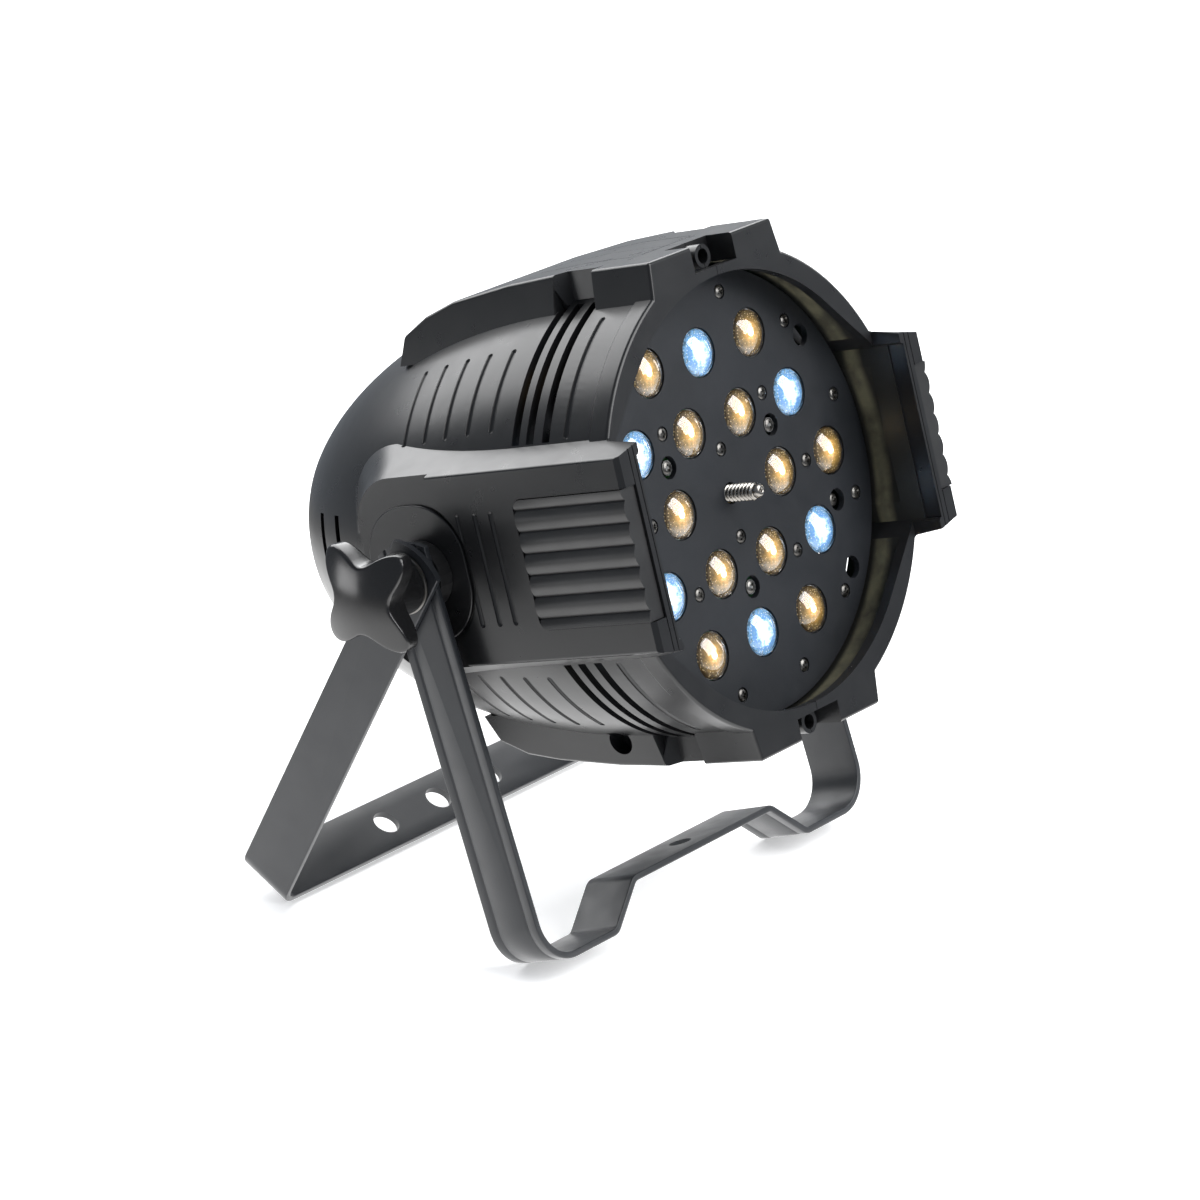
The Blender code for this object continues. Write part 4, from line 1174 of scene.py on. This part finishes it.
def make_brackets():
    foot = -(FRONT_LEG - BAR_T / 2)
    middle = foot + FRONT_RISE
    leg_x = FRONT_X - BAR_T / 2
    corners = [(leg_x, BAR_TOP, 0), (leg_x, foot, 0.0185), (0.0700, foot, 0.006),
               (0.0500, middle, 0.006)]
    bar = bent_bar("front", corners, True, 14)
    cut(bar, cylinder("clamp_hole", "Z", -0.200, -0.100, FRONT_HOLE_R))
    finish(bar, "floor_bracket_front", bracket_paint, leaning(PIVOT, -lean(FRONT_LEG)),
           "front_bracket", ["front_bracket"], 50.0)

    foot = -(REAR_LEG - BAR_T / 2)
    leg_x = REAR_X - BAR_T / 2
    bar = bent_bar("rear", [(leg_x, BAR_TOP, 0), (leg_x, foot, 0.0065)], False, 10)
    holes = [cylinder("hole", "Z", -0.200, -0.100, REAR_HOLE_R, (x, 0.0)) for x in REAR_HOLES]
    cut(bar, group("holes", holes))
    finish(bar, "floor_bracket_rear", bracket_paint, leaning(PIVOT, lean(REAR_LEG)),
           "rear_bracket", ["rear_bracket"], 50.0)


make_brackets()


# -------- knobs and washers
def knob_ring(side, scale, lobes, drop=0.0, flat_x=None):
    """One ring of the four-lobed star, flat at flat_x or else on the domed face."""
    points = []
    for i in range(KNOB_STEPS):
        angle = 2 * math.pi * i / KNOB_STEPS
        wave = 4 * (angle - KNOB_TURN)
        star = KNOB_LOBE * math.cos(wave) + KNOB_TIP * math.cos(2 * wave)
        radius = scale * (KNOB_MEAN_R + lobes * star)
        x = KNOB_TOP - radius ** 2 / (2 * KNOB_DOME) - drop if flat_x is None else flat_x
        points.append((side * x, radius * math.cos(angle), radius * math.sin(angle)))
    return points


def round_rings(side, radii, steps):
    """Rings round the pivot axis from (radius, distance out along it) pairs."""
    return [[(side * x, y, z) for y, z in circle(radius, steps)] for radius, x in radii]


def make_knobs():
    """Each knob from its bore over its neck to the star's face, and the washer behind it."""
    bore = BOLT_R + GAP
    neck = ((bore, 0.1360), (bore, KNOB_BASE + 0.0003), (BOLT_R + 0.0006, KNOB_BASE),
            (NECK_R - 0.0003, KNOB_BASE), (NECK_R, KNOB_BASE + 0.0003),
            (NECK_R, KNOB_BACK - 0.0004), (NECK_R + 0.0003, KNOB_BACK))
    for side, name in ((-1, "knob_left"), (1, "knob_right")):
        rings = round_rings(side, neck, KNOB_STEPS)
        for step, scale in ((0.0, 0.965), (0.0001, 0.978), (0.0004, 0.988), (0.0009, 0.992)):
            rings.append(knob_ring(side, scale, 1.0, flat_x=KNOB_BACK + step))
        for drop, scale in ((0.0016, 1.0), (0.0009, 0.999), (0.0004, 0.990), (0.0001, 0.976),
                            (0.0, 0.955)):
            rings.append(knob_ring(side, scale, 1.0, drop))
        for scale, lobes in ((0.88, 0.97), (0.78, 0.90), (0.67, 0.78), (0.55, 0.62),
                             (0.42, 0.42), (0.29, 0.22), (0.16, 0.08), (0.05, 0.0)):
            rings.append(knob_ring(side, scale, lobes))
        finish(loft("knob", rings), name.replace("knob", "star_knob"), knob_black, HEAD, name,
               [name], 40.0)

        near, far, edge = REAR_X + GAP, KNOB_BASE - GAP, 0.0004
        radii = ((WASHER_R - 0.0005, near), (WASHER_R, near + edge), (WASHER_R, far - edge),
                 (WASHER_R - 0.0005, far))
        washer = loft("washer", round_rings(side, radii, 72))
        cut(washer, side_prism("bore", circle(bore, 32), side, 0.1150, 0.1300))
        finish(washer, name.replace("knob", "thrust_washer"), dark_steel, HEAD, "can",
               [name.replace("knob", "knob_washer")], 40.0)


make_knobs()


# -------- camera, floor and light
def make_camera():
    data = bpy.data.cameras.new("camera")
    data.lens = FOCAL_LENGTH
    data.sensor_width = SENSOR
    camera = add_object("camera", data)
    right = CAMERA_RIGHT.normalized()
    back = CAMERA_BACK.normalized()
    turn = Matrix((right, back.cross(right), back)).transposed()
    camera.matrix_world = Matrix.Translation(PLATE + CAMERA_FROM_PLATE) @ turn.to_4x4()
    bpy.context.scene.camera = camera


def area_light(name, spot, width, height, power):
    """A rectangular light aimed at the lamp, out of the camera's sight."""
    data = bpy.data.lights.new(name, "AREA")
    data.shape = "RECTANGLE"
    data.size = width
    data.size_y = height
    data.energy = power
    light = add_object(name, data)
    light.location = spot
    light.rotation_euler = (LIGHT_AIM - Vector(spot)).to_track_quat("-Z", "Y").to_euler()
    light.visible_camera = False


def make_floor():
    """A pale floor; reflections see the light pool instead."""
    floor = cylinder("floor", "Z", -0.010, 0.0, 12.0, steps=96)
    mat = new_material("pale_floor", (0.80, 0.80, 0.80), 0.75, Emission_Color=WHITE,
                       Emission_Strength=FLOOR_GLOW)
    floor.data.materials.append(mat)
    floor.visible_glossy = False


def make_light_pool():
    """A bright patch of floor with a soft edge, seen only in reflections."""
    pool = cylinder("light_pool", "Z", -0.0010, -0.0005, POOL_R, POOL_CENTRE, 96)
    mat = new_material("bright_floor", (0.0, 0.0, 0.0), 1.0, Specular_IOR_Level=0.0,
                       Emission_Color=WHITE)
    away = node(mat, "ShaderNodeVectorMath", operation="DISTANCE")
    away.inputs[1].default_value = (*POOL_CENTRE, 0.0)
    link(mat, object_place(mat), away.inputs[0])
    strength = remap(mat, away.outputs["Value"], POOL_BRIGHT_R, POOL_DIM_R, POOL_BRIGHT, POOL_DIM)
    to_shader(mat, strength, "Emission Strength")
    pool.data.materials.append(mat)
    pool.visible_camera = False
    pool.visible_diffuse = False
    pool.visible_transmission = False
    pool.visible_shadow = False


def make_world():
    """A pale backdrop; in reflections, a dimmer room."""
    world = bpy.data.worlds.new("studio")
    world.use_nodes = True
    bpy.context.scene.world = world
    tree = world.node_tree
    background = tree.nodes["Background"]
    paths = tree.nodes.new("ShaderNodeLightPath")
    seen = tree.nodes.new("ShaderNodeMix")
    seen.data_type = "RGBA"
    room, backdrop = of_type(seen.inputs, "RGBA")
    room.default_value = ROOM
    backdrop.default_value = BACKDROP
    tree.links.new(paths.outputs["Is Camera Ray"], of_type(seen.inputs, "VALUE")[0])
    tree.links.new(of_type(seen.outputs, "RGBA")[0], background.inputs["Color"])


make_camera()
make_floor()
make_light_pool()
make_world()
for softbox in SOFTBOXES:
    area_light(*softbox)
bpy.context.scene.view_settings.view_transform = "Standard"

# -------- pieces that keep their CAD solids
PLAIN = (
    (plate_black, ("rear_panel", "zoom_motor")),
    (board_green, ("display_board", "led_board", "driver_board")),
    (smoked, ("display_window",)),
    (zinc, ("dmx_in", "dmx_out", "safety_eye", "pivot_bolt_left", "pivot_bolt_right",
            "nut_plate_left", "nut_plate_right", "guide_rod_1", "guide_rod_2", "guide_rod_3")),
    (pad_black, ("power_inlet", "fuse_holder", "pivot_spacer_left", "pivot_spacer_right",
                 "fan_frame", "fan_rotor")),
    (dark_steel, ("seam_screw_top", "seam_screw_bottom")),
    (brass, ("zoom_nut",)),
    (aluminium, ("heatsink", "power_supply")),
    (key_rubber, ("menu_button_1", "menu_button_2", "menu_button_3", "menu_button_4")),
)
for mat, names in PLAIN:
    for name in names:
        nodes[name].data.materials.clear()
        nodes[name].data.materials.append(mat)
